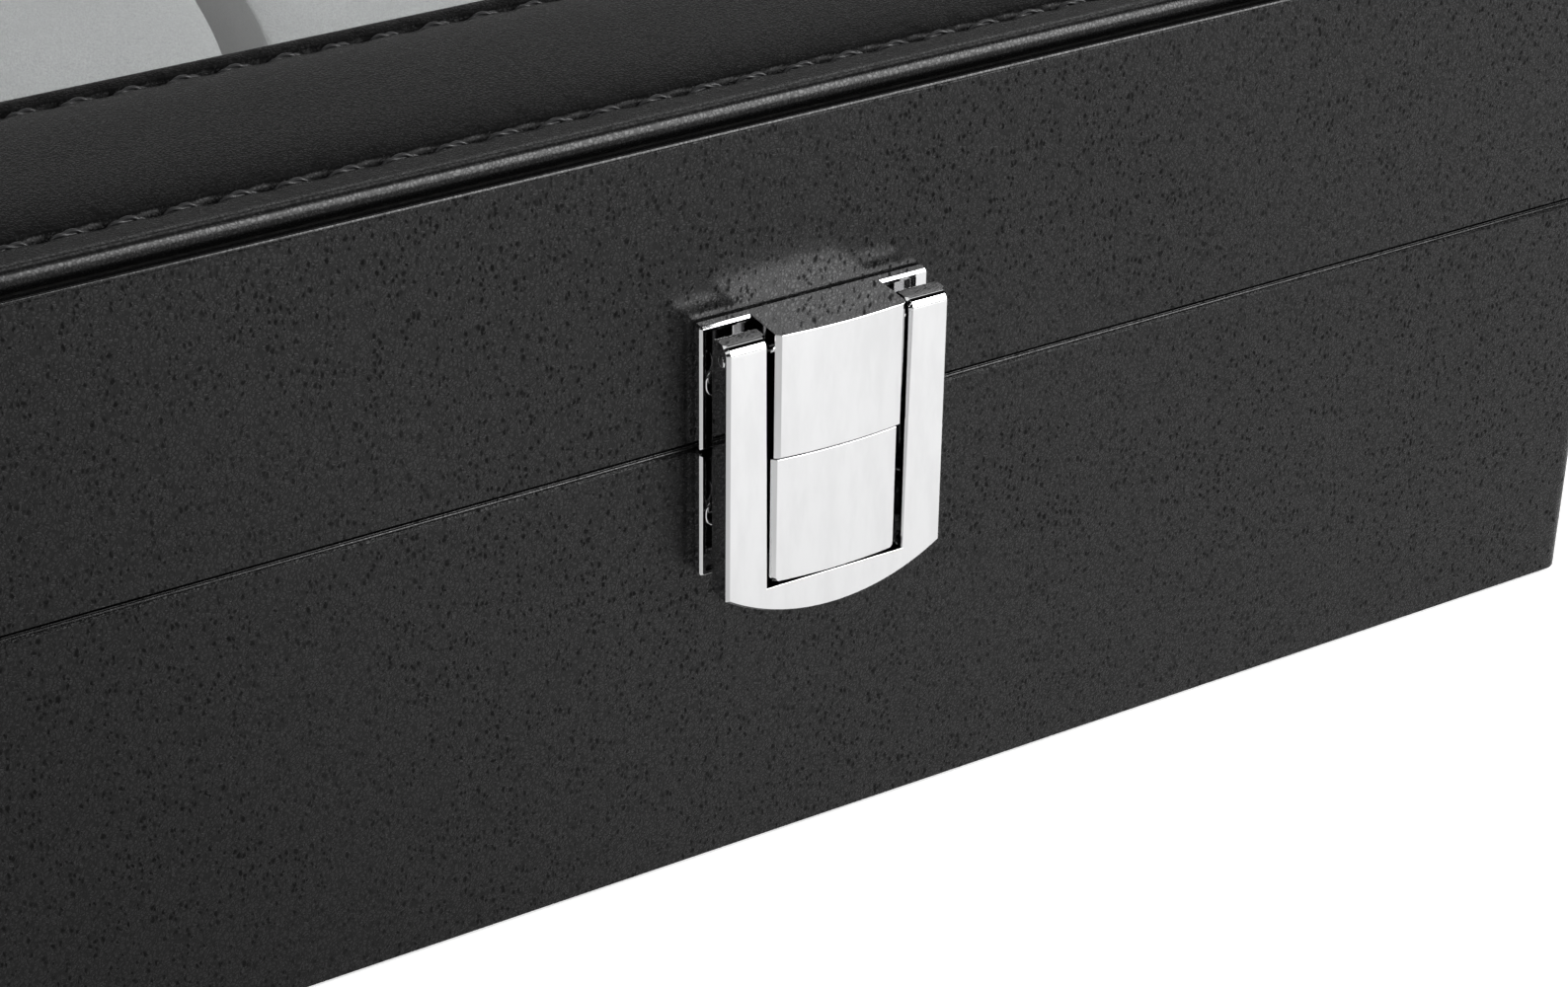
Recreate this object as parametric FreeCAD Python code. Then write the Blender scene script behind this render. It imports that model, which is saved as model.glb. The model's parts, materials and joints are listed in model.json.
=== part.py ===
import FreeCAD, Part
import math
import os

# A leather-covered watch box: a glass-topped lid hinged at the back, a tray of ten pillows under it,
# a shallow drawer that slides out of the right-hand side, and a chromed lever clasp at the front.
# Millimetres. +Z is up, the front and its clasp face -Y, and the drawer opens along +X.
# The origin is the middle of the felt that the box stands on.

# Case, outside of the leather
HALF_WIDTH = 128.0
HALF_DEPTH = 100.0
LEATHER = 1.2
CORNER_RADIUS = 2.5
ARRIS = 0.5
FELT_TOP = 0.6
BASE_TOP = 60.6
LID_BOTTOM = 60.95
LID_TOP = 100.8
SEAM = 60.8

# Boards under the leather
BASE_BOARD = 7.8
LID_BOARD = 6.8
BOARD_HALF_WIDTH = HALF_WIDTH - LEATHER
BOARD_HALF_DEPTH = HALF_DEPTH - LEATHER
BOARD_CORNER = CORNER_RADIUS - LEATHER
BASE_INNER_X = BOARD_HALF_WIDTH - BASE_BOARD
BASE_INNER_Y = BOARD_HALF_DEPTH - BASE_BOARD
LID_INNER_X = BOARD_HALF_WIDTH - LID_BOARD
LID_INNER_Y = BOARD_HALF_DEPTH - LID_BOARD
TURNED_UNDER = 1.0
BASE_BOARD_BOTTOM = FELT_TOP + TURNED_UNDER
BASE_BOARD_TOP = BASE_TOP - LEATHER
FLOOR_TOP = 7.6

# Watch tier
DECK_BOTTOM = 31.0
DECK_TOP = 34.0
GROOVE_DEPTH = 3.0
JOINERY_GAP = 0.1
TRAY_FLOOR_TOP = 35.5
LINER = 1.8
LINER_TOP = 65.8
DIVIDER = 3.0
DIVIDER_TOP = 58.0
PILLOW_COLUMNS = 5
PILLOW_WIDTH = 42.6
PILLOW_DEPTH = 78.0
PILLOW_HEIGHT = 42.0

# Top of the lid
PANEL_BOTTOM = 97.0
PANEL_TOP = 100.2
OPENING_INSET = 43.4
PAD_SKIN = 1.0
GLASS_THICKNESS = 1.8
GLASS_HALF_X = 90.0
GLASS_HALF_Y = 62.0
BACKING_BOTTOM = 92.4
LID_LINING = 1.0
LID_LINING_BOTTOM = 66.8

# Drawer
DRAWER_TRAVEL = 145.0
DRAWER_GAP = 0.5
DRAWER_BOTTOM = 8.35
DRAWER_SIDE_TOP = 26.5
DRAWER_BACK_TOP = 28.2
DRAWER_WALL = 5.0
DRAWER_HALF_DEPTH = 89.3
DRAWER_BACK_X = -117.5
DRAWER_FRONT_X = 117.5
DRAWER_PANEL_BOTTOM = 10.0
DRAWER_PANEL_TOP = 13.0
DRAWER_LINING_TOP = 14.2
DRAWER_DIVIDER = 2.5
DRAWER_DIVIDER_TOP = 24.5
FRONT_BOTTOM = 8.4
FRONT_TOP = 30.3
KNOB_HEIGHT = 19.35
KNOB_LENGTH = 12.2
KNOB_RADIUS = 6.3
KNOB_HOLE = 1.55
KNOB_SCREW_RADIUS = 1.5
KNOB_SCREW_LENGTH = 17.0
RUNNER_WIDTH = 6.0
STOP_WIDTH = 6.0
STOP_HALF_LENGTH = 30.0
STOP_CATCH = 1.2
MOUTH_GAP = 0.3

# Clasp; a stand-off is a distance in front of the leather
PLATE_HALF_WIDTH = 15.7
PLATE_THICKNESS = 1.8
PLATE_TOP = 77.6
PLATE_BOTTOM = 43.4
PLATE_CORNER = 0.9
PLATE_RIM = 0.55
PLATE_RIGHT_RIM = 1.8
PLATE_RECESS = 0.5
BLOCK_HALF_WIDTH = 8.85
UPPER_BLOCK_FRONT = 8.3
LOWER_BLOCK_FRONT = 7.0
BLOCK_BULGE = 0.5
BLOCK_CORNER = 0.9
EDGE_BEVEL = 0.5
LEVER_HALF_WIDTH = 15.2
LEVER_WINDOW_HALF_WIDTH = 9.6
LEVER_FRONT = 8.1
LEVER_BACK = 4.7
LEVER_BRIDGE_BACK = 7.25
LEVER_TOP = 77.2
LEVER_WINDOW_BOTTOM = 43.5
LEVER_CORNER_HEIGHT = 43.4
LEVER_ARC_DROP = 4.1
PIVOT_STAND_OFF = 5.9
PIVOT_HEIGHT = 75.0
PIVOT_RADIUS = 0.55
CLASP_LEFT_SCREW_X = -13.0
CLASP_RIGHT_SCREW_X = 11.8
CLASP_SCREW_RISE = 8.9

# Lid hinges
HINGE_X = 80.0
HINGE_AXIS_Y = HALF_DEPTH + 2.2
HINGE_HALF_WIDTH = 20.0
LEAF_THICKNESS = 1.2
LEAF_HEIGHT = 14.0
KNUCKLE_RADIUS = 1.9
KNUCKLE_NOTCH = 2.3
KNUCKLE_HALF = 6.7
KNUCKLE_GAP = 0.2
HINGE_PIN_RADIUS = 0.9
HINGE_SCREW_X = 13.0
HINGE_SCREW_RISE = 9.0

RUNNING_GAP = 0.05
PRESSED_GAP = 0.02

Vec = FreeCAD.Vector
ALONG_X = Vec(1, 0, 0)
ALONG_Y = Vec(0, 1, 0)
ALONG_Z = Vec(0, 0, 1)

os.makedirs("parts", exist_ok=True)


def save(name, *solids):
    shape = solids[0] if len(solids) == 1 else Part.makeCompound(list(solids))
    shape.exportStep("parts/" + name + ".step")


def slab(x0, x1, y0, y1, z0, z1):
    return Part.makeBox(x1 - x0, y1 - y0, z1 - z0, Vec(x0, y0, z0))


def is_upright(edge):
    ends = edge.Vertexes
    return len(ends) == 2 and abs(ends[0].Z - ends[1].Z) > 0.9 * edge.Length


def rounded_slab(half_x, half_y, z0, z1, radius):
    solid = slab(-half_x, half_x, -half_y, half_y, z0, z1)
    return solid.makeFillet(radius, [edge for edge in solid.Edges if is_upright(edge)])


def edges_at_height(solid, height):
    return [edge for edge in solid.Edges if all(abs(v.Z - height) < 1e-4 for v in edge.Vertexes)]


def closed_face(edges):
    return Part.Face(Part.Wire(Part.__sortEdges__(edges)))


def polygon(points):
    return Part.Face(Part.makePolygon(points + points[:1]))


def arc(a, middle, b):
    return Part.Arc(a, middle, b).toShape()


def line(a, b):
    return Part.makeLine(a, b)


# Carcass boards of the base
# Front, back and left boards, with a sill and a rail that leave the drawer's mouth on the right.
# The deck is let into a groove all round.


def corner_rounded(board, face_y):
    outer = [e for e in board.Edges if is_upright(e) and abs(e.Vertexes[0].Y - face_y) < 1e-4]
    return board.makeFillet(BOARD_CORNER, outer)


deck_reach_x = BASE_INNER_X + GROOVE_DEPTH
deck_reach_y = BASE_INNER_Y + GROOVE_DEPTH
deck = slab(-deck_reach_x, deck_reach_x, -deck_reach_y, deck_reach_y, DECK_BOTTOM, DECK_TOP)
deck_groove = slab(-deck_reach_x - JOINERY_GAP, deck_reach_x + JOINERY_GAP,
                   -deck_reach_y - JOINERY_GAP, deck_reach_y + JOINERY_GAP,
                   DECK_BOTTOM - JOINERY_GAP, DECK_TOP + JOINERY_GAP)

base_front = slab(-BOARD_HALF_WIDTH, BOARD_HALF_WIDTH, -BOARD_HALF_DEPTH, -BASE_INNER_Y,
                  BASE_BOARD_BOTTOM, BASE_BOARD_TOP)
base_front = corner_rounded(base_front, -BOARD_HALF_DEPTH).cut(deck_groove)
base_back = slab(-BOARD_HALF_WIDTH, BOARD_HALF_WIDTH, BASE_INNER_Y, BOARD_HALF_DEPTH,
                 BASE_BOARD_BOTTOM, BASE_BOARD_TOP)
base_back = corner_rounded(base_back, BOARD_HALF_DEPTH).cut(deck_groove)
base_left = slab(-BOARD_HALF_WIDTH, -BASE_INNER_X, -BASE_INNER_Y, BASE_INNER_Y,
                 BASE_BOARD_BOTTOM, BASE_BOARD_TOP).cut(deck_groove)
base_rail = slab(BASE_INNER_X, BOARD_HALF_WIDTH, -BASE_INNER_Y, BASE_INNER_Y,
                 DECK_BOTTOM, BASE_BOARD_TOP).cut(deck_groove)
base_sill = slab(BASE_INNER_X, BOARD_HALF_WIDTH, -BASE_INNER_Y, BASE_INNER_Y,
                 BASE_BOARD_BOTTOM, FLOOR_TOP)
base_bottom = slab(-BASE_INNER_X, BASE_INNER_X, -BASE_INNER_Y, BASE_INNER_Y, FELT_TOP, FLOOR_TOP)

# Leather of the base
# One sheet round the four sides, turned in over the boards' top edges and under their bottom edges,
# with the drawer's mouth cut in the right-hand side.

base_wrap = rounded_slab(HALF_WIDTH, HALF_DEPTH, FELT_TOP, BASE_TOP, CORNER_RADIUS)
base_wrap = base_wrap.makeChamfer(ARRIS, edges_at_height(base_wrap, BASE_TOP))
base_wrap = base_wrap.cut(rounded_slab(BOARD_HALF_WIDTH, BOARD_HALF_DEPTH, BASE_BOARD_BOTTOM,
                                       BASE_BOARD_TOP, BOARD_CORNER))
base_wrap = base_wrap.cut(slab(-BASE_INNER_X, BASE_INNER_X, -BASE_INNER_Y, BASE_INNER_Y, 0, BASE_TOP))
mouth_half_depth = DRAWER_HALF_DEPTH + LEATHER + MOUTH_GAP
base_wrap = base_wrap.cut(slab(BASE_INNER_X, HALF_WIDTH, -mouth_half_depth, mouth_half_depth,
                               FRONT_BOTTOM - DRAWER_GAP, FRONT_TOP + DRAWER_GAP - JOINERY_GAP))

# Felt under the base, over the leather's turned edges

felt_margin = 3.0
bottom_felt = rounded_slab(HALF_WIDTH - felt_margin, HALF_DEPTH - felt_margin, 0, FELT_TOP, CORNER_RADIUS)

# Watch tier
# A padded floor and four liner panels that stand above the seam as a lip for the lid.

liner_x = BASE_INNER_X - JOINERY_GAP
liner_y = BASE_INNER_Y - JOINERY_GAP
tray_x = liner_x - LINER
tray_y = liner_y - LINER
tray_floor = slab(-liner_x, liner_x, -liner_y, liner_y, DECK_TOP, TRAY_FLOOR_TOP)


def liner_panel(x0, x1, y0, y1):
    # the top edge is eased, as velvet over card is
    panel = slab(x0, x1, y0, y1, TRAY_FLOOR_TOP, LINER_TOP)
    long_way = max(x1 - x0, y1 - y0)
    top = [e for e in edges_at_height(panel, LINER_TOP) if e.Length > 0.9 * long_way]
    return panel.makeChamfer(0.3 * LINER, top)


tray_liners = [liner_panel(-liner_x, liner_x, -liner_y, -tray_y),
               liner_panel(-liner_x, liner_x, tray_y, liner_y),
               liner_panel(-liner_x, -tray_x, -tray_y, tray_y),
               liner_panel(tray_x, liner_x, -tray_y, tray_y)]

# Dividers of the watch tier
# One long divider and four cross dividers, halved over each other like an egg crate.

slot_width = (2 * tray_x - (PILLOW_COLUMNS - 1) * DIVIDER) / PILLOW_COLUMNS
slot_pitch = slot_width + DIVIDER
column_middles = [-tray_x + slot_width / 2 + i * slot_pitch for i in range(PILLOW_COLUMNS)]
divider_middles = [x + slot_pitch / 2 for x in column_middles[:-1]]
halving_height = (TRAY_FLOOR_TOP + DIVIDER_TOP) / 2


def halved(long_panel, cross_panels, middles, thickness, middle_height, top, bottom):
    # the long panel is notched from its top edge and each cross panel from its bottom edge
    half = thickness / 2 + RUNNING_GAP
    cut_cross = []
    for panel, x in zip(cross_panels, middles):
        long_panel = long_panel.cut(slab(x - half, x + half, -half, half, middle_height, top + 1))
        cut_cross.append(panel.cut(slab(x - half, x + half, -half, half, bottom - 1, middle_height)))
    return long_panel, cut_cross


long_divider = slab(-tray_x + JOINERY_GAP, tray_x - JOINERY_GAP, -DIVIDER / 2, DIVIDER / 2,
                    TRAY_FLOOR_TOP, DIVIDER_TOP)
cross_dividers = [slab(x - DIVIDER / 2, x + DIVIDER / 2, -tray_y + JOINERY_GAP, tray_y - JOINERY_GAP,
                       TRAY_FLOOR_TOP, DIVIDER_TOP) for x in divider_middles]
long_divider, cross_dividers = halved(long_divider, cross_dividers, divider_middles, DIVIDER,
                                      halving_height, DIVIDER_TOP, TRAY_FLOOR_TOP)

# Watch pillows
# A stuffed pillow lies across its slot: a crowned oval from the side, drawn in at both sewn ends,
# and fullest at the middle of its height.

pillow_half_width = PILLOW_WIDTH / 2
pillow_half_depth = PILLOW_DEPTH / 2
pillow_end = 0.86 * pillow_half_width
pillow_foot = 0.84 * pillow_half_width
pillow_crown_edge = 0.77 * pillow_half_width
pillow_widest = TRAY_FLOOR_TOP + 0.45 * PILLOW_HEIGHT
pillow_shoulder_height = TRAY_FLOOR_TOP + 0.86 * PILLOW_HEIGHT
pillow_top = TRAY_FLOOR_TOP + PILLOW_HEIGHT


def pillow_from_side():
    foot = 0.62 * pillow_half_depth
    shoulder = 0.70 * pillow_half_depth

    def at(y, z):
        return Vec(-PILLOW_WIDTH, y, z)
    outline = closed_face([
        line(at(-foot, TRAY_FLOOR_TOP), at(foot, TRAY_FLOOR_TOP)),
        arc(at(foot, TRAY_FLOOR_TOP), at(pillow_half_depth, pillow_widest),
            at(shoulder, pillow_shoulder_height)),
        arc(at(shoulder, pillow_shoulder_height), at(0, pillow_top), at(-shoulder, pillow_shoulder_height)),
        arc(at(-shoulder, pillow_shoulder_height), at(-pillow_half_depth, pillow_widest),
            at(-foot, TRAY_FLOOR_TOP))])
    return outline.extrude(Vec(2 * PILLOW_WIDTH, 0, 0))


def barrel(near_left, middle_left, far_left, through):
    # two facing arcs that bulge to either side, closed by straight ends
    def across(point):
        return Vec(-point.x, point.y, point.z)
    outline = closed_face([
        arc(near_left, middle_left, far_left),
        line(far_left, across(far_left)),
        arc(across(far_left), across(middle_left), across(near_left)),
        line(across(near_left), near_left)])
    return outline.extrude(through)


def pillow_solid():
    from_above = barrel(Vec(-pillow_end, -pillow_half_depth - 1, 0), Vec(-pillow_half_width, 0, 0),
                        Vec(-pillow_end, pillow_half_depth + 1, 0), Vec(0, 0, LID_TOP))
    from_front = barrel(Vec(-pillow_foot, -PILLOW_DEPTH, TRAY_FLOOR_TOP - 1),
                        Vec(-pillow_half_width, -PILLOW_DEPTH, pillow_widest),
                        Vec(-pillow_crown_edge, -PILLOW_DEPTH, pillow_top + 1),
                        Vec(0, 2 * PILLOW_DEPTH, 0))
    return pillow_from_side().common(from_above).common(from_front)


row_middle = (tray_y + DIVIDER / 2) / 2
pillows = []
for y in (-row_middle, row_middle):
    for x in column_middles:
        pillow = pillow_solid()
        pillow.translate(Vec(x, y, 0))
        pillows.append(pillow)

# Runners and stop of the drawer
# Two low-friction strips on the floor, and a strip under the deck that catches the drawer's back.

runner_inner = DRAWER_HALF_DEPTH - DRAWER_WALL - 1.0
runner_outer = runner_inner + RUNNER_WIDTH
runner_top = DRAWER_BOTTOM - RUNNING_GAP
runner_start = -BASE_INNER_X + 2.0
runner_end = BASE_INNER_X - 1.0
runners = [slab(runner_start, runner_end, -runner_outer, -runner_inner, FLOOR_TOP, runner_top),
           slab(runner_start, runner_end, runner_inner, runner_outer, FLOOR_TOP, runner_top)]
stop_x = DRAWER_BACK_X + DRAWER_WALL + DRAWER_TRAVEL + JOINERY_GAP
drawer_stop = slab(stop_x, stop_x + STOP_WIDTH, -STOP_HALF_LENGTH, STOP_HALF_LENGTH,
                   DRAWER_BACK_TOP - STOP_CATCH, DECK_BOTTOM)

# Lid boards and leather

lid_front = slab(-BOARD_HALF_WIDTH, BOARD_HALF_WIDTH, -BOARD_HALF_DEPTH, -LID_INNER_Y,
                 LID_BOTTOM + LEATHER, PANEL_BOTTOM)
lid_front = corner_rounded(lid_front, -BOARD_HALF_DEPTH)
lid_back = slab(-BOARD_HALF_WIDTH, BOARD_HALF_WIDTH, LID_INNER_Y, BOARD_HALF_DEPTH,
                LID_BOTTOM + LEATHER, PANEL_BOTTOM)
lid_back = corner_rounded(lid_back, BOARD_HALF_DEPTH)
lid_left = slab(-BOARD_HALF_WIDTH, -LID_INNER_X, -LID_INNER_Y, LID_INNER_Y,
                LID_BOTTOM + LEATHER, PANEL_BOTTOM)
lid_right = slab(LID_INNER_X, BOARD_HALF_WIDTH, -LID_INNER_Y, LID_INNER_Y,
                 LID_BOTTOM + LEATHER, PANEL_BOTTOM)

lid_wrap = rounded_slab(HALF_WIDTH, HALF_DEPTH, LID_BOTTOM, LID_TOP, CORNER_RADIUS)
lid_wrap = lid_wrap.makeChamfer(ARRIS, edges_at_height(lid_wrap, LID_BOTTOM) + edges_at_height(lid_wrap, LID_TOP))
lid_wrap = lid_wrap.cut(rounded_slab(BOARD_HALF_WIDTH, BOARD_HALF_DEPTH, LID_BOTTOM + LEATHER,
                                     LID_TOP + 1, BOARD_CORNER))
lid_wrap = lid_wrap.cut(slab(-LID_INNER_X, LID_INNER_X, -LID_INNER_Y, LID_INNER_Y, 0, LID_TOP))

# Top frame of the lid
# A panel carries the glass opening. The leather over it is padded: a rolled outer edge that leaves
# a dark channel above the wall, a low crown between two stitched valleys, and a rolled inner edge
# whose skin turns down to the glass.

panel_inset = OPENING_INSET - PAD_SKIN
top_panel = rounded_slab(BOARD_HALF_WIDTH - JOINERY_GAP, BOARD_HALF_DEPTH - JOINERY_GAP,
                         PANEL_BOTTOM, PANEL_TOP, BOARD_CORNER)
top_panel = top_panel.cut(slab(-HALF_WIDTH + panel_inset, HALF_WIDTH - panel_inset,
                               -HALF_DEPTH + panel_inset, HALF_DEPTH - panel_inset, 0, LID_TOP))

outer_roll = 1.5
outer_roll_in = 2.8
outer_roll_height = 102.0
outer_stitch_in = 7.2
outer_stitch_height = 103.1
crown_height = 104.0
inner_stitch_in = 39.4
inner_stitch_height = 102.9
inner_roll = 1.4
inner_roll_height = 101.8


def pad_profile():
    def at(inset, height):
        return Vec(0, -HALF_DEPTH + inset, height)
    inner_roll_in = OPENING_INSET - inner_roll
    low_outer = at(outer_roll_in, outer_roll_height - outer_roll)
    top_outer = at(outer_roll_in, outer_roll_height + outer_roll)
    outer_stitch = at(outer_stitch_in, outer_stitch_height)
    inner_stitch = at(inner_stitch_in, inner_stitch_height)
    top_inner = at(inner_roll_in, inner_roll_height + inner_roll)
    side_inner = at(OPENING_INSET, inner_roll_height)
    bend = inner_roll * math.sin(math.radians(45))
    foot = PANEL_BOTTOM + RUNNING_GAP
    crown_middle = at((outer_stitch_in + inner_stitch_in) / 2, crown_height)
    return closed_face([
        arc(low_outer, at(outer_roll_in - outer_roll, outer_roll_height), top_outer),
        line(top_outer, outer_stitch),
        arc(outer_stitch, crown_middle, inner_stitch),
        line(inner_stitch, top_inner),
        arc(top_inner, at(inner_roll_in + bend, inner_roll_height + bend), side_inner),
        line(side_inner, at(OPENING_INSET, foot)),
        line(at(OPENING_INSET, foot), at(panel_inset, foot)),
        line(at(panel_inset, foot), at(panel_inset, PANEL_TOP)),
        line(at(panel_inset, PANEL_TOP), at(outer_roll_in, PANEL_TOP)),
        line(at(outer_roll_in, PANEL_TOP), low_outer)])


def pad_side(half_length, half_across):
    # one side of the frame, its front one, mitred at both ends
    side = pad_profile().extrude(Vec(2 * half_length, 0, 0))
    side.translate(Vec(-half_length, HALF_DEPTH - half_across, 0))
    reach = half_across
    wedge = polygon([Vec(-half_length, -half_across, 0), Vec(half_length, -half_across, 0),
                     Vec(half_length - reach, -half_across + reach, 0),
                     Vec(-half_length + reach, -half_across + reach, 0)])
    return side.common(wedge.extrude(Vec(0, 0, LID_TOP + 20)))


def spun(shape, degrees):
    copy = shape.copy()
    copy.rotate(Vec(0, 0, 0), ALONG_Z, degrees)
    return copy


front_side = pad_side(HALF_WIDTH, HALF_DEPTH)
right_side = spun(pad_side(HALF_DEPTH, HALF_WIDTH), 90)
top_pad = front_side.fuse([right_side, spun(front_side, 180), spun(right_side, 180)])
pad_edge = outer_roll_in - outer_roll
top_pad = top_pad.common(rounded_slab(HALF_WIDTH - pad_edge, HALF_DEPTH - pad_edge, 0, LID_TOP + 20,
                                      CORNER_RADIUS))
top_pad = top_pad.removeSplitter().Solids[0]

# Glass, and the lined backing frame that holds it up against the panel

glass_bottom = PANEL_BOTTOM - GLASS_THICKNESS
glass = slab(-GLASS_HALF_X, GLASS_HALF_X, -GLASS_HALF_Y, GLASS_HALF_Y, glass_bottom, PANEL_BOTTOM)
backing_x = LID_INNER_X - JOINERY_GAP
backing_y = LID_INNER_Y - JOINERY_GAP
backing_inset = OPENING_INSET - 2.0
backing = slab(-backing_x, backing_x, -backing_y, backing_y, BACKING_BOTTOM, PANEL_BOTTOM)
backing = backing.cut(slab(-HALF_WIDTH + backing_inset, HALF_WIDTH - backing_inset,
                           -HALF_DEPTH + backing_inset, HALF_DEPTH - backing_inset, 0, PANEL_BOTTOM))
backing = backing.cut(slab(-GLASS_HALF_X - JOINERY_GAP, GLASS_HALF_X + JOINERY_GAP,
                           -GLASS_HALF_Y - JOINERY_GAP, GLASS_HALF_Y + JOINERY_GAP,
                           glass_bottom - RUNNING_GAP, PANEL_BOTTOM))

lining_x = backing_x - LID_LINING
lining_y = backing_y - LID_LINING
lid_linings = [slab(-backing_x, backing_x, -backing_y, -lining_y, LID_LINING_BOTTOM, BACKING_BOTTOM),
               slab(-backing_x, backing_x, lining_y, backing_y, LID_LINING_BOTTOM, BACKING_BOTTOM),
               slab(-backing_x, -lining_x, -lining_y, lining_y, LID_LINING_BOTTOM, BACKING_BOTTOM),
               slab(lining_x, backing_x, -lining_y, lining_y, LID_LINING_BOTTOM, BACKING_BOTTOM)]

# Screw heads
# Round heads that stand on the clasp plates, and flat heads sunk in the hinge leaves.

round_head_radius = 1.95
round_head_top_radius = 1.1
round_head_height = 1.1
flat_head_radius = 2.1
flat_head_point = 1.05
head_play = 0.05


def round_head(x, seat_y, z):
    seat = Vec(x, seat_y, z)
    return Part.makeCone(round_head_radius, round_head_top_radius, round_head_height, seat, -ALONG_Y)


def flat_head(x, z, play=0.0):
    # it widens from the leather's face to the leaf's outer face
    point = Vec(x, HALF_DEPTH, z)
    return Part.makeCone(flat_head_point + play, flat_head_radius + play, LEAF_THICKNESS, point, ALONG_Y)


# Clasp plates
# Each is one casting: a rimmed plate with a sunk field, and a block that stands out of it.
# The rim is broader on the right.
# The two halves meet at the seam.


def front_view(points):
    # a polygon given as (x, z), drawn on the leather's front face
    return polygon([Vec(x, -HALF_DEPTH, z) for x, z in points])


def plate_outline(left_rim, right_rim, z0, z1, outer_z, radius, depth_from, depth_to):
    solid = slab(-PLATE_HALF_WIDTH + left_rim, PLATE_HALF_WIDTH - right_rim,
                 -HALF_DEPTH - depth_to, -HALF_DEPTH - depth_from, z0, z1)
    corners = [e for e in solid.Edges
               if abs(e.Length - (depth_to - depth_from)) < 1e-4 and abs(e.Vertexes[0].Z - outer_z) < 1e-4]
    return solid.makeFillet(radius, corners)


def clasp_block(z0, z1, front):
    # bevelled upright corners and a front face that swells a little
    half = BLOCK_HALF_WIDTH
    side = front - BLOCK_BULGE
    corner_a = Vec(-half, -HALF_DEPTH - side + EDGE_BEVEL, z0)
    corner_b = Vec(-half + EDGE_BEVEL, -HALF_DEPTH - side, z0)
    corner_c = Vec(half - EDGE_BEVEL, -HALF_DEPTH - side, z0)
    corner_d = Vec(half, -HALF_DEPTH - side + EDGE_BEVEL, z0)
    back_left = Vec(-half, -HALF_DEPTH - 0.2, z0)
    back_right = Vec(half, -HALF_DEPTH - 0.2, z0)
    outline = closed_face([line(back_left, corner_a), line(corner_a, corner_b),
                           arc(corner_b, Vec(0, -HALF_DEPTH - front, z0), corner_c),
                           line(corner_c, corner_d), line(corner_d, back_right),
                           line(back_right, back_left)])
    block = outline.extrude(Vec(0, 0, z1 - z0))
    rounded = slab(-half, half, -HALF_DEPTH - front - 1, -HALF_DEPTH, z0, z1)
    lowest = [e for e in rounded.Edges
              if abs(e.Vertexes[0].Y - e.Vertexes[1].Y) > 1 and abs(e.Vertexes[0].Z - z0) < 1e-4]
    return block.common(rounded.makeFillet(BLOCK_CORNER, lowest))


def clasp_plate(z0, z1, outer_z, front, block_z0, block_z1):
    plate = plate_outline(0, 0, z0, z1, outer_z, PLATE_CORNER, 0, PLATE_THICKNESS)
    field_z0 = z0 + PLATE_RIM
    field_z1 = z1 - PLATE_RIM
    field_outer = field_z0 if outer_z == z0 else field_z1
    field = plate_outline(PLATE_RIM, PLATE_RIGHT_RIM, field_z0, field_z1, field_outer,
                          PLATE_CORNER / 2, PLATE_THICKNESS - PLATE_RECESS, PLATE_THICKNESS + 1)
    return plate.cut(field).fuse(clasp_block(block_z0, block_z1, front)).removeSplitter()


upper_plate = clasp_plate(LID_BOTTOM, PLATE_TOP, PLATE_TOP, UPPER_BLOCK_FRONT, LID_BOTTOM, PLATE_TOP)
lower_plate = clasp_plate(PLATE_BOTTOM, BASE_TOP, PLATE_BOTTOM, LOWER_BLOCK_FRONT,
                          PLATE_BOTTOM + 0.3, BASE_TOP)
pivot_centre = Vec(-LEVER_HALF_WIDTH, -HALF_DEPTH - PIVOT_STAND_OFF, PIVOT_HEIGHT)
pivot_pin = Part.makeCylinder(PIVOT_RADIUS, 2 * LEVER_HALF_WIDTH, pivot_centre, ALONG_X)
pin_bore = Part.makeCylinder(PIVOT_RADIUS + PRESSED_GAP, 2 * LEVER_HALF_WIDTH, pivot_centre, ALONG_X)
upper_plate = upper_plate.cut(pin_bore)

plate_field_y = -HALF_DEPTH - PLATE_THICKNESS + PLATE_RECESS
screw_places = (CLASP_LEFT_SCREW_X, CLASP_RIGHT_SCREW_X)
upper_screws = [round_head(x, plate_field_y, SEAM + CLASP_SCREW_RISE) for x in screw_places]
lower_screws = [round_head(x, plate_field_y, SEAM - CLASP_SCREW_RISE) for x in screw_places]

# Clasp lever
# A U of bevelled bar: two arms outside the blocks, rounded over at the pivot, and a bowed bridge
# below them. The bridge is relieved behind, so that it passes in front of the lower block.


def lever_outline():
    half = LEVER_HALF_WIDTH
    window = LEVER_WINDOW_HALF_WIDTH

    def at(x, z):
        return Vec(x, -HALF_DEPTH - LEVER_FRONT, z)
    return closed_face([
        line(at(-half, LEVER_TOP), at(-half, LEVER_CORNER_HEIGHT)),
        arc(at(-half, LEVER_CORNER_HEIGHT), at(0, LEVER_CORNER_HEIGHT - LEVER_ARC_DROP),
            at(half, LEVER_CORNER_HEIGHT)),
        line(at(half, LEVER_CORNER_HEIGHT), at(half, LEVER_TOP)),
        line(at(half, LEVER_TOP), at(window, LEVER_TOP)),
        line(at(window, LEVER_TOP), at(window, LEVER_WINDOW_BOTTOM)),
        line(at(window, LEVER_WINDOW_BOTTOM), at(-window, LEVER_WINDOW_BOTTOM)),
        line(at(-window, LEVER_WINDOW_BOTTOM), at(-window, LEVER_TOP)),
        line(at(-window, LEVER_TOP), at(-half, LEVER_TOP))])


def on_front_face(edge):
    return all(abs(v.Y + HALF_DEPTH + LEVER_FRONT) < 1e-4 for v in edge.Vertexes)


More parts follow.
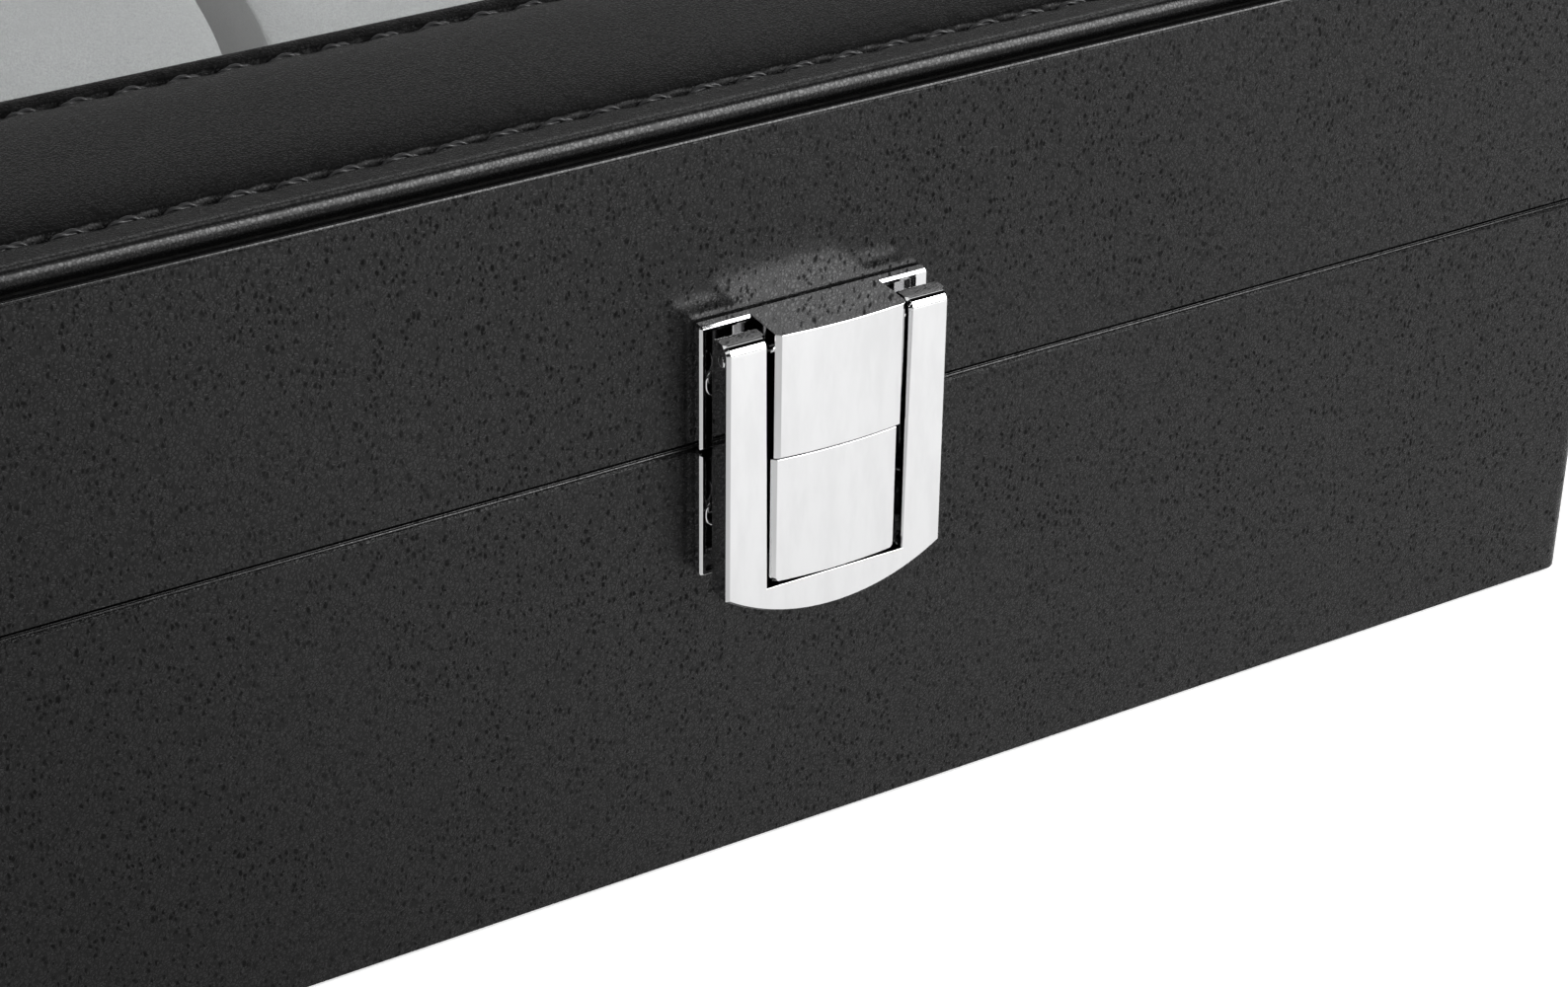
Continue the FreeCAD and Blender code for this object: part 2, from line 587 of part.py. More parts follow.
def lever_top_cutter():
    # what lies outside the arms' rounded tops, seen from the side
    front_radius = 1.2
    back_radius = 0.9
    front = -HALF_DEPTH - LEVER_FRONT
    back = -HALF_DEPTH - LEVER_BACK
    x = -LEVER_HALF_WIDTH - 1
    slant = math.sqrt(0.5)

    def at(y, z):
        return Vec(x, y, z)
    front_corner = closed_face([
        arc(at(front, LEVER_TOP - front_radius),
            at(front + front_radius * (1 - slant), LEVER_TOP - front_radius * (1 - slant)),
            at(front + front_radius, LEVER_TOP)),
        line(at(front + front_radius, LEVER_TOP), at(front + front_radius, LEVER_TOP + 1)),
        line(at(front + front_radius, LEVER_TOP + 1), at(front - 1, LEVER_TOP + 1)),
        line(at(front - 1, LEVER_TOP + 1), at(front - 1, LEVER_TOP - front_radius)),
        line(at(front - 1, LEVER_TOP - front_radius), at(front, LEVER_TOP - front_radius))])
    back_corner = closed_face([
        arc(at(back, LEVER_TOP - back_radius),
            at(back - back_radius * (1 - slant), LEVER_TOP - back_radius * (1 - slant)),
            at(back - back_radius, LEVER_TOP)),
        line(at(back - back_radius, LEVER_TOP), at(back - back_radius, LEVER_TOP + 1)),
        line(at(back - back_radius, LEVER_TOP + 1), at(back + 1, LEVER_TOP + 1)),
        line(at(back + 1, LEVER_TOP + 1), at(back + 1, LEVER_TOP - back_radius)),
        line(at(back + 1, LEVER_TOP - back_radius), at(back, LEVER_TOP - back_radius))])
    through = Vec(2 * LEVER_HALF_WIDTH + 2, 0, 0)
    return front_corner.extrude(through).fuse(back_corner.extrude(through))


lever = lever_outline().extrude(Vec(0, LEVER_FRONT - LEVER_BACK, 0))
lever = lever.makeChamfer(EDGE_BEVEL, [e for e in lever.Edges
                                       if on_front_face(e) and e.Vertexes[0].Z + e.Vertexes[1].Z
                                       < 2 * LEVER_TOP - 1])
lever = lever.cut(lever_top_cutter())
lever = lever.cut(slab(-LEVER_WINDOW_HALF_WIDTH, LEVER_WINDOW_HALF_WIDTH,
                       -HALF_DEPTH - LEVER_BRIDGE_BACK, -HALF_DEPTH - LEVER_BACK + 1, 0, LEVER_TOP))
lever = lever.cut(Part.makeCylinder(PIVOT_RADIUS + RUNNING_GAP, 2 * LEVER_HALF_WIDTH, pivot_centre, ALONG_X))
lever = lever.removeSplitter()

# Lid hinges
# Two butt hinges on the back face. The base leaf has the outer knuckles and holds the pin,
# and the lid leaf has the middle knuckle and turns on it.


def hinge_leaf(middle_x, direction, knuckle_spans, bore_radius):
    near = SEAM + direction * KNUCKLE_NOTCH
    far = SEAM + direction * LEAF_HEIGHT
    leaf = slab(middle_x - HINGE_HALF_WIDTH, middle_x + HINGE_HALF_WIDTH, HALF_DEPTH,
                HALF_DEPTH + LEAF_THICKNESS, min(near, far), max(near, far))
    corners = [e for e in leaf.Edges
               if abs(e.Length - LEAF_THICKNESS) < 1e-4 and abs(e.Vertexes[0].Z - far) < 1e-4]
    leaf = leaf.makeFillet(1.5, corners)
    bores = []
    for start, end in knuckle_spans:
        x = middle_x + start
        strap = slab(x, middle_x + end, HALF_DEPTH + 0.3, HALF_DEPTH + LEAF_THICKNESS,
                     min(SEAM, near), max(SEAM, near))
        barrel = Part.makeCylinder(KNUCKLE_RADIUS, end - start, Vec(x, HINGE_AXIS_Y, SEAM), ALONG_X)
        bores.append(Part.makeCylinder(bore_radius, end - start, Vec(x, HINGE_AXIS_Y, SEAM), ALONG_X))
        leaf = leaf.fuse([strap, barrel])
    return leaf.removeSplitter().cut(bores[0] if len(bores) == 1 else bores[0].fuse(bores[1]))


outer_knuckles = [(-HINGE_HALF_WIDTH, -KNUCKLE_HALF - KNUCKLE_GAP), (KNUCKLE_HALF + KNUCKLE_GAP, HINGE_HALF_WIDTH)]
middle_knuckle = [(-KNUCKLE_HALF, KNUCKLE_HALF)]
base_leaves = []
lid_leaves = []
hinge_pins = []
base_hinge_screws = []
lid_hinge_screws = []
for middle_x in (-HINGE_X, HINGE_X):
    base_leaf = hinge_leaf(middle_x, -1, outer_knuckles, HINGE_PIN_RADIUS + PRESSED_GAP)
    lid_leaf = hinge_leaf(middle_x, 1, middle_knuckle, HINGE_PIN_RADIUS + RUNNING_GAP)
    for x in (middle_x - HINGE_SCREW_X, middle_x + HINGE_SCREW_X):
        base_hinge_screws.append(flat_head(x, SEAM - HINGE_SCREW_RISE))
        lid_hinge_screws.append(flat_head(x, SEAM + HINGE_SCREW_RISE))
        base_leaf = base_leaf.cut(flat_head(x, SEAM - HINGE_SCREW_RISE, head_play))
        lid_leaf = lid_leaf.cut(flat_head(x, SEAM + HINGE_SCREW_RISE, head_play))
    base_leaves.append(base_leaf)
    lid_leaves.append(lid_leaf)
    hinge_pins.append(Part.makeCylinder(HINGE_PIN_RADIUS, 2 * HINGE_HALF_WIDTH,
                                        Vec(middle_x - HINGE_HALF_WIDTH, HINGE_AXIS_Y, SEAM), ALONG_X))

# Drawer box
# Sides and back grooved for the bottom panel, which also meets the front board.

wall_inner = DRAWER_HALF_DEPTH - DRAWER_WALL
drawer_groove = 2.5
panel_back = DRAWER_BACK_X + DRAWER_WALL - drawer_groove
drawer_panel_groove = slab(panel_back - JOINERY_GAP, DRAWER_FRONT_X + 1, -wall_inner - drawer_groove,
                           wall_inner + drawer_groove, DRAWER_PANEL_BOTTOM, DRAWER_PANEL_TOP)
drawer_side_front = slab(DRAWER_BACK_X, DRAWER_FRONT_X, -DRAWER_HALF_DEPTH, -wall_inner,
                         DRAWER_BOTTOM, DRAWER_SIDE_TOP).cut(drawer_panel_groove)
drawer_side_back = slab(DRAWER_BACK_X, DRAWER_FRONT_X, wall_inner, DRAWER_HALF_DEPTH,
                        DRAWER_BOTTOM, DRAWER_SIDE_TOP).cut(drawer_panel_groove)
drawer_back = slab(DRAWER_BACK_X, DRAWER_BACK_X + DRAWER_WALL, -wall_inner, wall_inner,
                   DRAWER_BOTTOM, DRAWER_BACK_TOP).cut(drawer_panel_groove)
panel_half_depth = wall_inner + drawer_groove - JOINERY_GAP
drawer_bottom = slab(panel_back, DRAWER_FRONT_X, -panel_half_depth, panel_half_depth,
                     DRAWER_PANEL_BOTTOM + RUNNING_GAP, DRAWER_PANEL_TOP - RUNNING_GAP)
lining_back = DRAWER_BACK_X + DRAWER_WALL + JOINERY_GAP
lining_half_depth = wall_inner - JOINERY_GAP
drawer_lining = slab(lining_back, DRAWER_FRONT_X - JOINERY_GAP, -lining_half_depth, lining_half_depth,
                     DRAWER_PANEL_TOP - RUNNING_GAP, DRAWER_LINING_TOP)

drawer_divider_middles = [-38.3, 38.3]
screw_head_room = 2.5
drawer_long_divider = slab(lining_back, DRAWER_FRONT_X - screw_head_room, -DRAWER_DIVIDER / 2,
                           DRAWER_DIVIDER / 2, DRAWER_LINING_TOP, DRAWER_DIVIDER_TOP)
drawer_cross_dividers = [slab(x - DRAWER_DIVIDER / 2, x + DRAWER_DIVIDER / 2, -lining_half_depth,
                              lining_half_depth, DRAWER_LINING_TOP, DRAWER_DIVIDER_TOP)
                         for x in drawer_divider_middles]
drawer_long_divider, drawer_cross_dividers = halved(
    drawer_long_divider, drawer_cross_dividers, drawer_divider_middles, DRAWER_DIVIDER,
    (DRAWER_LINING_TOP + DRAWER_DIVIDER_TOP) / 2, DRAWER_DIVIDER_TOP, DRAWER_LINING_TOP)

# Drawer front
# A board with leather drawn over its face and edges, flush with the side of the case.

front_skin = 1.0
drawer_front = slab(DRAWER_FRONT_X, BOARD_HALF_WIDTH, -DRAWER_HALF_DEPTH, DRAWER_HALF_DEPTH,
                    FRONT_BOTTOM + front_skin, FRONT_TOP - front_skin)
drawer_wrap = slab(DRAWER_FRONT_X, HALF_WIDTH, -DRAWER_HALF_DEPTH - front_skin,
                   DRAWER_HALF_DEPTH + front_skin, FRONT_BOTTOM, FRONT_TOP)
drawer_wrap = drawer_wrap.makeFillet(1.0, [e for e in drawer_wrap.Edges
                                           if all(abs(v.X - HALF_WIDTH) < 1e-4 for v in e.Vertexes)])
drawer_wrap = drawer_wrap.cut(drawer_front)

# Drawer knob, and the screw that holds it from inside
# Turned: a coned foot, a waisted neck and a domed head, with a blind hole for the screw.


def knob_solid(seat):
    def at(along, radius):
        return seat + ALONG_X * along + ALONG_Z * radius
    waist = 0.45 * KNOB_RADIUS
    rim = KNOB_LENGTH - 3.6
    return polygon([
        at(0, KNOB_HOLE), at(0, 0.76 * KNOB_RADIUS), at(3.0, waist), at(4.6, waist),
        at(rim, KNOB_RADIUS), at(rim + 2.4, 0.75 * KNOB_RADIUS), at(KNOB_LENGTH, 0),
        at(8.5, 0), at(8.0, KNOB_HOLE)]).revolve(seat, ALONG_X, 360)


knob = knob_solid(Vec(HALF_WIDTH, 0, KNOB_HEIGHT))
screw_head_radius = 3.2
screw_head_depth = 1.7
screw_seat = Vec(DRAWER_FRONT_X, 0, KNOB_HEIGHT)
knob_screw = Part.makeCone(2.2, screw_head_radius, screw_head_depth,
                           screw_seat - ALONG_X * screw_head_depth, ALONG_X)
knob_screw = knob_screw.fuse(Part.makeCylinder(KNOB_SCREW_RADIUS, KNOB_SCREW_LENGTH, screw_seat, ALONG_X))
knob_hole = Part.makeCylinder(KNOB_SCREW_RADIUS + 2 * RUNNING_GAP, 12.0, screw_seat - ALONG_X, ALONG_X)
drawer_front = drawer_front.cut(knob_hole)
drawer_wrap = drawer_wrap.cut(knob_hole)

# The nodes

save("base_front_board", base_front)
save("base_back_board", base_back)
save("base_left_board", base_left)
save("base_right_rail", base_rail)
save("base_right_sill", base_sill)
save("base_bottom_board", base_bottom)
save("base_leather_wrap", base_wrap)
save("bottom_felt", bottom_felt)
save("watch_deck", deck)
save("tray_floor_lining", tray_floor)
save("tray_wall_liners", *tray_liners)
save("tray_long_divider", long_divider)
save("tray_cross_dividers", *cross_dividers)
for number, solid in enumerate(pillows, 1):
    save("watch_pillow_%02d" % number, solid)
save("drawer_runners", *runners)
save("drawer_stop", drawer_stop)
save("clasp_lower_plate", lower_plate)
save("clasp_lower_screws", *lower_screws)
save("hinge_base_leaf_left", base_leaves[0])
save("hinge_base_leaf_right", base_leaves[1])
save("hinge_pins", *hinge_pins)
save("hinge_base_screws", *base_hinge_screws)

save("lid_front_board", lid_front)
save("lid_back_board", lid_back)
save("lid_left_board", lid_left)
save("lid_right_board", lid_right)
save("lid_leather_wrap", lid_wrap)
save("lid_top_panel", top_panel)
save("lid_top_pad", top_pad)
save("lid_glass", glass)
save("lid_backing_frame", backing)
save("lid_wall_lining", *lid_linings)
save("clasp_upper_plate", upper_plate)
save("clasp_upper_screws", *upper_screws)
save("clasp_pivot_pin", pivot_pin)
save("hinge_lid_leaf_left", lid_leaves[0])
save("hinge_lid_leaf_right", lid_leaves[1])
save("hinge_lid_screws", *lid_hinge_screws)

save("clasp_lever", lever)

save("drawer_front", drawer_front)
save("drawer_front_leather", drawer_wrap)
save("drawer_side_front", drawer_side_front)
save("drawer_side_back", drawer_side_back)
save("drawer_back", drawer_back)
save("drawer_bottom", drawer_bottom)
save("drawer_floor_lining", drawer_lining)
save("drawer_long_divider", drawer_long_divider)
save("drawer_cross_dividers", *drawer_cross_dividers)
save("drawer_knob", knob)
save("drawer_knob_screw", knob_screw)
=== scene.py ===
"""The look of a leather-covered watch box: ten pillows under a glass-topped lid, a lever clasp, and a drawer."""

import json
import math

import bmesh
import bpy
from mathutils import Matrix, Vector, noise

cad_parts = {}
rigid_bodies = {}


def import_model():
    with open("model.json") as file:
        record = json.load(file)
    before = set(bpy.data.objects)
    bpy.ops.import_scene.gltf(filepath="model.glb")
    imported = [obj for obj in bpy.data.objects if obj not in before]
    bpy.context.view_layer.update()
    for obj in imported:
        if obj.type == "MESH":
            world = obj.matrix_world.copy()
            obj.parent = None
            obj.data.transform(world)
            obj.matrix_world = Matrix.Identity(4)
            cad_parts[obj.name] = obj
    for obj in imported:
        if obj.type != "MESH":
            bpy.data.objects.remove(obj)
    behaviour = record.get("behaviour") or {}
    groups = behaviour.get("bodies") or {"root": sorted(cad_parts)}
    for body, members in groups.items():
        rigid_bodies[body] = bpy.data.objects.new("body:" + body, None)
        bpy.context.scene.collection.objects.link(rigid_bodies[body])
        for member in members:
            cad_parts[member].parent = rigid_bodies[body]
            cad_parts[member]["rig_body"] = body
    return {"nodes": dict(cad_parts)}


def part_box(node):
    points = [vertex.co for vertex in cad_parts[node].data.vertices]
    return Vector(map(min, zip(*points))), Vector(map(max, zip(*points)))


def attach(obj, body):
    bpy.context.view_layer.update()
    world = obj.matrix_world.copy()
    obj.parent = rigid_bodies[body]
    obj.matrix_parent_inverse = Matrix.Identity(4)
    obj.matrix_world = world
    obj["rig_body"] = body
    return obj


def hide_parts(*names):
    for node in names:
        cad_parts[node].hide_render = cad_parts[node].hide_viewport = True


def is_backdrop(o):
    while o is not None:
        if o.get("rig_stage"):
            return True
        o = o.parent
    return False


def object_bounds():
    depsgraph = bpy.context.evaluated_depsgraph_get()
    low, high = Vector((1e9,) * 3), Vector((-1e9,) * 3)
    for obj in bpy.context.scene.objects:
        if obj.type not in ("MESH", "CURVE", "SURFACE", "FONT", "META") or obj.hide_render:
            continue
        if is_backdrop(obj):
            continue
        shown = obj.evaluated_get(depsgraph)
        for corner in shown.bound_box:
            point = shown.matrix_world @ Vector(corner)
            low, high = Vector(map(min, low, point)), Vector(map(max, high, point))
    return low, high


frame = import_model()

cad_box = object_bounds()
nodes = frame["nodes"]
MM = 0.001


# Viewing point
# The clasp is seen from in front, a little from the left and above, through a long lens that is
# turned a hair about its own axis.

scene = bpy.context.scene
scene.view_settings.view_transform = "Standard"

turn, rise, lean = math.radians(-30.7985), math.radians(30.8239), math.radians(0.78337)
looking = Vector((-math.sin(turn) * math.cos(rise), math.cos(turn) * math.cos(rise), -math.sin(rise)))
level = looking.cross(Vector((0, 0, 1))).normalized()
upright = level.cross(looking)
rightwards = math.cos(lean) * level + math.sin(lean) * upright
upwards = math.cos(lean) * upright - math.sin(lean) * level
viewer = bpy.data.cameras.new("viewer")
viewer.lens = 81.813
viewer.sensor_width = 36.0
viewer.clip_start = 0.01
viewer_object = bpy.data.objects.new("viewer", viewer)
facing = Matrix((rightwards, upwards, -looking)).transposed().to_4x4()
viewer_object.matrix_world = Matrix.Translation(Vector((-193.432, -419.472, 272.621)) * MM) @ facing
scene.collection.objects.link(viewer_object)
scene.camera = viewer_object


# Table and studio
# A pale table that runs up behind the box. A large bright panel stands in front on the right, and
# weaker softboxes hang overhead and on the left. The room is bright only low down behind the box.

def add_node(tree, kind, settings=None, **inputs):
    """A shader node. An input is named by its label, with _ for a space, or by its number as n0, n1."""
    made = tree.nodes.new("ShaderNode" + kind)
    for name, value in (settings or {}).items():
        setattr(made, name, value)
    for name, value in inputs.items():
        numbered = name[0] == "n" and name[1:].isdigit()
        socket = made.inputs[int(name[1:])] if numbered else made.inputs[name.replace("_", " ")]
        if isinstance(value, bpy.types.NodeSocket):
            tree.links.new(value, socket)
        else:
            socket.default_value = value
    return made


def mix_colours(tree, share, first, second):
    return add_node(tree, "Mix", {"data_type": "RGBA"}, n0=share, n6=first, n7=second).outputs[2]


def arithmetic(tree, operation, first, second=0.0, third=0.0):
    return add_node(tree, "Math", {"operation": operation}, n0=first, n1=second, n2=third).outputs[0]


def ease(tree, value, low, high, start=0.0, end=1.0):
    """value brought from low..high to start..end, smoothly and without leaving it."""
    return add_node(tree, "MapRange", {"interpolation_type": "SMOOTHSTEP"}, Value=value, From_Min=low,
                    From_Max=high, To_Min=start, To_Max=end).outputs[0]


def seen_or_mirrored(tree):
    rays = add_node(tree, "LightPath").outputs
    both = arithmetic(tree, "MAXIMUM", rays["Is Camera Ray"], rays["Is Glossy Ray"])
    return rays, arithmetic(tree, "MAXIMUM", both, rays["Is Transmission Ray"])


room = bpy.data.worlds.new("studio_room")
room.use_nodes = True
scene.world = room
tree = room.node_tree
tree.nodes.clear()
rays, shown = seen_or_mirrored(tree)
direction = add_node(tree, "TexCoord").outputs["Generated"]
sides = add_node(tree, "SeparateXYZ", n0=direction).outputs
above = ease(tree, sides[2], 0.20, 0.60, 0.50, 0.05)
above = arithmetic(tree, "MULTIPLY", above, ease(tree, sides[1], -0.1, 0.4, 0.05, 1.0))
dimmed = arithmetic(tree, "MULTIPLY", shown, above)
plain = arithmetic(tree, "SUBTRACT", 1.0, shown)
strength = arithmetic(tree, "ADD", dimmed, arithmetic(tree, "MULTIPLY", plain, 0.40))
strength = arithmetic(tree, "MAXIMUM", strength, rays["Is Camera Ray"])
background = add_node(tree, "Background", Color=(1, 1, 1, 1), Strength=strength)
tree.links.new(background.outputs[0], add_node(tree, "OutputWorld").inputs[0])


def new_material(name):
    """A material with its Principled shader, and the tree they are in."""
    material = bpy.data.materials.new(name)
    material.use_nodes = True
    tree = material.node_tree
    return material, tree, tree.nodes["Principled BSDF"]


table_material, tree, shader = new_material("white_table")
rays, shown = seen_or_mirrored(tree)
place = add_node(tree, "TexCoord").outputs["Object"]
side = add_node(tree, "SeparateXYZ", n0=place).outputs[0]
# Painted shade: seen in mirrors only, the table is darker to the left of the box and a little darker far to its
# right, as if it were less lit there.
lit = arithmetic(tree, "MULTIPLY", ease(tree, side, -0.11, 0.02), ease(tree, side, 0.05, 0.18, 1.0, 0.55))
mirrored_painted_shade = mix_colours(tree, lit, (0.46, 0.46, 0.46, 1), (0.80, 0.80, 0.80, 1))
tone = mix_colours(tree, rays["Is Glossy Ray"], (0.86, 0.86, 0.86, 1), mirrored_painted_shade)
tree.links.new(tone, shader.inputs["Base Color"])
shader.inputs["Roughness"].default_value = 0.9
shader.inputs["Specular IOR Level"].default_value = 0.1
own = mix_colours(tree, shown, (0, 0, 0, 1), (0.20, 0.20, 0.20, 1))
own = mix_colours(tree, rays["Is Camera Ray"], own, (0.32, 0.32, 0.32, 1))
tree.links.new(own, shader.inputs["Emission Color"])
shader.inputs["Emission Strength"].default_value = 1.0

table_mesh = bpy.data.meshes.new("table")
table_shape = bmesh.new()
reach, bend, steps = 2.4, 0.5, 12
table_line = [(-reach, 0.0), (reach - bend, 0.0)]
table_line += [(reach - bend + bend * math.sin(a * math.pi / 2 / steps),
                bend - bend * math.cos(a * math.pi / 2 / steps)) for a in range(1, steps + 1)]
table_line += [(reach, 2.2)]
across = Vector((math.cos(turn), math.sin(turn), 0))
away = Vector((-math.sin(turn), math.cos(turn), 0))
rows = [[table_shape.verts.new(across * side + away * along + Vector((0, 0, z))) for side in (-3.0, 3.0)]
        for along, z in table_line]
for near, far in zip(rows, rows[1:]):
    table_shape.faces.new((near[0], near[1], far[1], far[0])).smooth = True
table_shape.to_mesh(table_mesh)
table_mesh.materials.append(table_material)
table = bpy.data.objects.new("table", table_mesh)
scene.collection.objects.link(table)
table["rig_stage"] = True


def soft_lamp(name, place, target, width, length, power):
    lamp = bpy.data.lights.new(name, "AREA")
    lamp.shape = "RECTANGLE"
    lamp.size, lamp.size_y = width, length
    lamp.energy = power
    held = bpy.data.objects.new(name, lamp)
    held.location = place
    held.rotation_euler = (Vector(target) - Vector(place)).to_track_quat("-Z", "Y").to_euler()
    scene.collection.objects.link(held)


soft_lamp("overhead_softbox", (0.25, 0.22, 1.05), (0.25, 0, 0.08), 1.4, 0.4, 1.3)
soft_lamp("front_panel", (0.56, -1.02, 0.66), (0, -0.1, 0.06), 0.8, 1.1, 24.0)
soft_lamp("left_softbox", (-1.1, -0.5, 0.8), (0, -0.05, 0.05), 0.7, 0.7, 1.6)


# Boards
# The carcass is cut from medium-density fibreboard, glued and pinned. It is raw where leather or
# lining covers it, and painted black where an edge or a board is left showing.

def finish_nodes(material, *names):
    for name in names:
        for slot in nodes[name].material_slots:
            slot.material = material


def object_place(tree, size_mm, stretch=(1, 1, 1)):
    """The place on the piece, counted in features of this size."""
    place = add_node(tree, "TexCoord").outputs["Object"]
    scale = [1000.0 / size_mm * s for s in stretch]
    return add_node(tree, "VectorMath", {"operation": "MULTIPLY"}, n0=place, n1=scale).outputs[0]


def cloud(tree, place, detail=3.0, roughness=0.55):
    return add_node(tree, "TexNoise", Vector=place, Scale=1.0, Detail=detail, Roughness=roughness).outputs[0]


fibreboard, tree, shader = new_material("fibreboard")
fibres = cloud(tree, object_place(tree, 1.1, (1, 1, 2.5)), 4.0, 0.7)
blotches = cloud(tree, object_place(tree, 30.0))
wood = mix_colours(tree, ease(tree, fibres, 0.3, 0.7), (0.30, 0.20, 0.12, 1), (0.50, 0.37, 0.24, 1))
wood = mix_colours(tree, ease(tree, blotches, 0.35, 0.75, 0.0, 0.4), wood, (0.36, 0.26, 0.17, 1))
tree.links.new(wood, shader.inputs["Base Color"])
tree.links.new(ease(tree, fibres, 0.3, 0.7, 0.75, 0.9), shader.inputs["Roughness"])
bump = add_node(tree, "Bump", Strength=0.4, Distance=0.0002, Height=fibres)
tree.links.new(bump.outputs[0], shader.inputs["Normal"])
finish_nodes(fibreboard, "base_front_board", "base_back_board", "base_left_board", "base_bottom_board",
             "watch_deck")

painted_board, tree, shader = new_material("black_painted_board")
fibres = cloud(tree, object_place(tree, 1.1, (1, 1, 2.5)), 4.0, 0.7)
paint = mix_colours(tree, ease(tree, fibres, 0.3, 0.7), (0.006, 0.006, 0.006, 1), (0.018, 0.017, 0.016, 1))
tree.links.new(paint, shader.inputs["Base Color"])
tree.links.new(ease(tree, fibres, 0.3, 0.7, 0.7, 0.9), shader.inputs["Roughness"])
finish_nodes(painted_board, "base_right_rail", "base_right_sill", "lid_front_board", "lid_back_board",
             "lid_left_board", "lid_right_board", "lid_top_panel", "drawer_front", "drawer_side_front",
             "drawer_side_back", "drawer_back", "drawer_bottom")


# Leather of the base and the lid
# Black bonded leather with a fine pebble and small pits, glued round each half of the case and
# turned in over its edges. It is polished by handling where it turns. Its coat is taken away down in
# the seam between base and lid, and on the flat top of the lid's wall in the groove under the padded
# frame: painted shade. Its pits and creases are painted darker and duller: painted shade too.

def new_group(name, inputs, outputs):
    """A shader node group with number inputs and number or colour outputs."""
    group = bpy.data.node_groups.new(name, "ShaderNodeTree")
    for label, value in inputs.items():
        socket = group.interface.new_socket(name=label, in_out="INPUT", socket_type="NodeSocketFloat")
        socket.default_value = value
    for label in outputs:
        group.interface.new_socket(name=label, in_out="OUTPUT", socket_type="NodeSocketFloat")
    return group, group.nodes.new("NodeGroupInput").outputs, group.nodes.new("NodeGroupOutput").inputs


def use_group(tree, group, **values):
    used = tree.nodes.new("ShaderNodeGroup")
    used.node_tree = group
    for name, value in values.items():
        used.inputs[name.replace("_", " ")].default_value = value
    return used.outputs


leather_grain, given, gives = new_group(
    "leather_grain",
    {"Pebble size": 0.5, "Pit spacing": 0.7, "Pit length": 0.6, "Pit amount": 1.0},
    ("Height", "Pits", "Mottle"))
tree = leather_grain
place = add_node(tree, "TexCoord").outputs["Object"]
in_mm = add_node(tree, "VectorMath", {"operation": "SCALE"}, n0=place, Scale=1000.0).outputs[0]
sway = add_node(tree, "TexNoise", Vector=in_mm, Scale=0.9, Detail=2.0).outputs[1]
swayed = add_node(tree, "VectorMath", {"operation": "MULTIPLY_ADD"}, n0=sway, n1=(0.9, 0.9, 0.9),
                  n2=in_mm).outputs[0]
per_pebble = add_node(tree, "VectorMath", {"operation": "SCALE"}, n0=swayed,
                      Scale=arithmetic(tree, "DIVIDE", 1.0, given["Pebble size"])).outputs[0]
creases = add_node(tree, "TexVoronoi", {"feature": "DISTANCE_TO_EDGE"}, Vector=per_pebble, Scale=1.0).outputs[0]
pebbles = ease(tree, creases, 0.0, 0.34)
flattened = add_node(tree, "CombineXYZ", n0=1.0, n1=1.0, n2=given["Pit length"]).outputs[0]
stretched = add_node(tree, "VectorMath", {"operation": "MULTIPLY"}, n0=swayed, n1=flattened).outputs[0]
per_pit = add_node(tree, "VectorMath", {"operation": "SCALE"}, n0=stretched,
                   Scale=arithmetic(tree, "DIVIDE", 1.0, given["Pit spacing"])).outputs[0]
cells = add_node(tree, "TexVoronoi", Vector=per_pit, Scale=1.0, Randomness=1.0)
cell_size = add_node(tree, "SeparateColor", n0=cells.outputs[1]).outputs[0]
pit_reach = ease(tree, cell_size, 0.0, 1.0, 0.27, 0.5)
pits = arithmetic(tree, "SUBTRACT", 1.0, arithmetic(tree, "DIVIDE", cells.outputs[0], pit_reach))
pits = ease(tree, pits, 0.0, 0.7)
cell_depth = add_node(tree, "SeparateColor", n0=cells.outputs[1]).outputs[1]
pits = arithmetic(tree, "MULTIPLY", pits, ease(tree, cell_depth, 0.0, 1.0, 0.35, 1.0))
patches = add_node(tree, "TexNoise", Vector=in_mm, Scale=0.045, Detail=3.0).outputs[0]
pits = arithmetic(tree, "MULTIPLY", pits, ease(tree, patches, 0.30, 0.62, 0.6, 1.0))
pits = arithmetic(tree, "MULTIPLY", pits, given["Pit amount"])
rough_ground = add_node(tree, "TexNoise", Vector=per_pebble, Scale=0.6, Detail=2.0).outputs[0]
relief = arithmetic(tree, "MULTIPLY_ADD", rough_ground, 0.6, pebbles)
relief = arithmetic(tree, "MULTIPLY_ADD", pits, -1.6, relief)
tree.links.new(relief, gives["Height"])
tree.links.new(pits, gives["Pits"])
tree.links.new(patches, gives["Mottle"])


def scale_input(tree, shader, label, share):
    """An input that already varies over the surface, made larger or smaller from place to place."""
    now = shader.inputs[label].links[0].from_socket
    tree.links.new(arithmetic(tree, "MULTIPLY", now, share), shader.inputs[label])


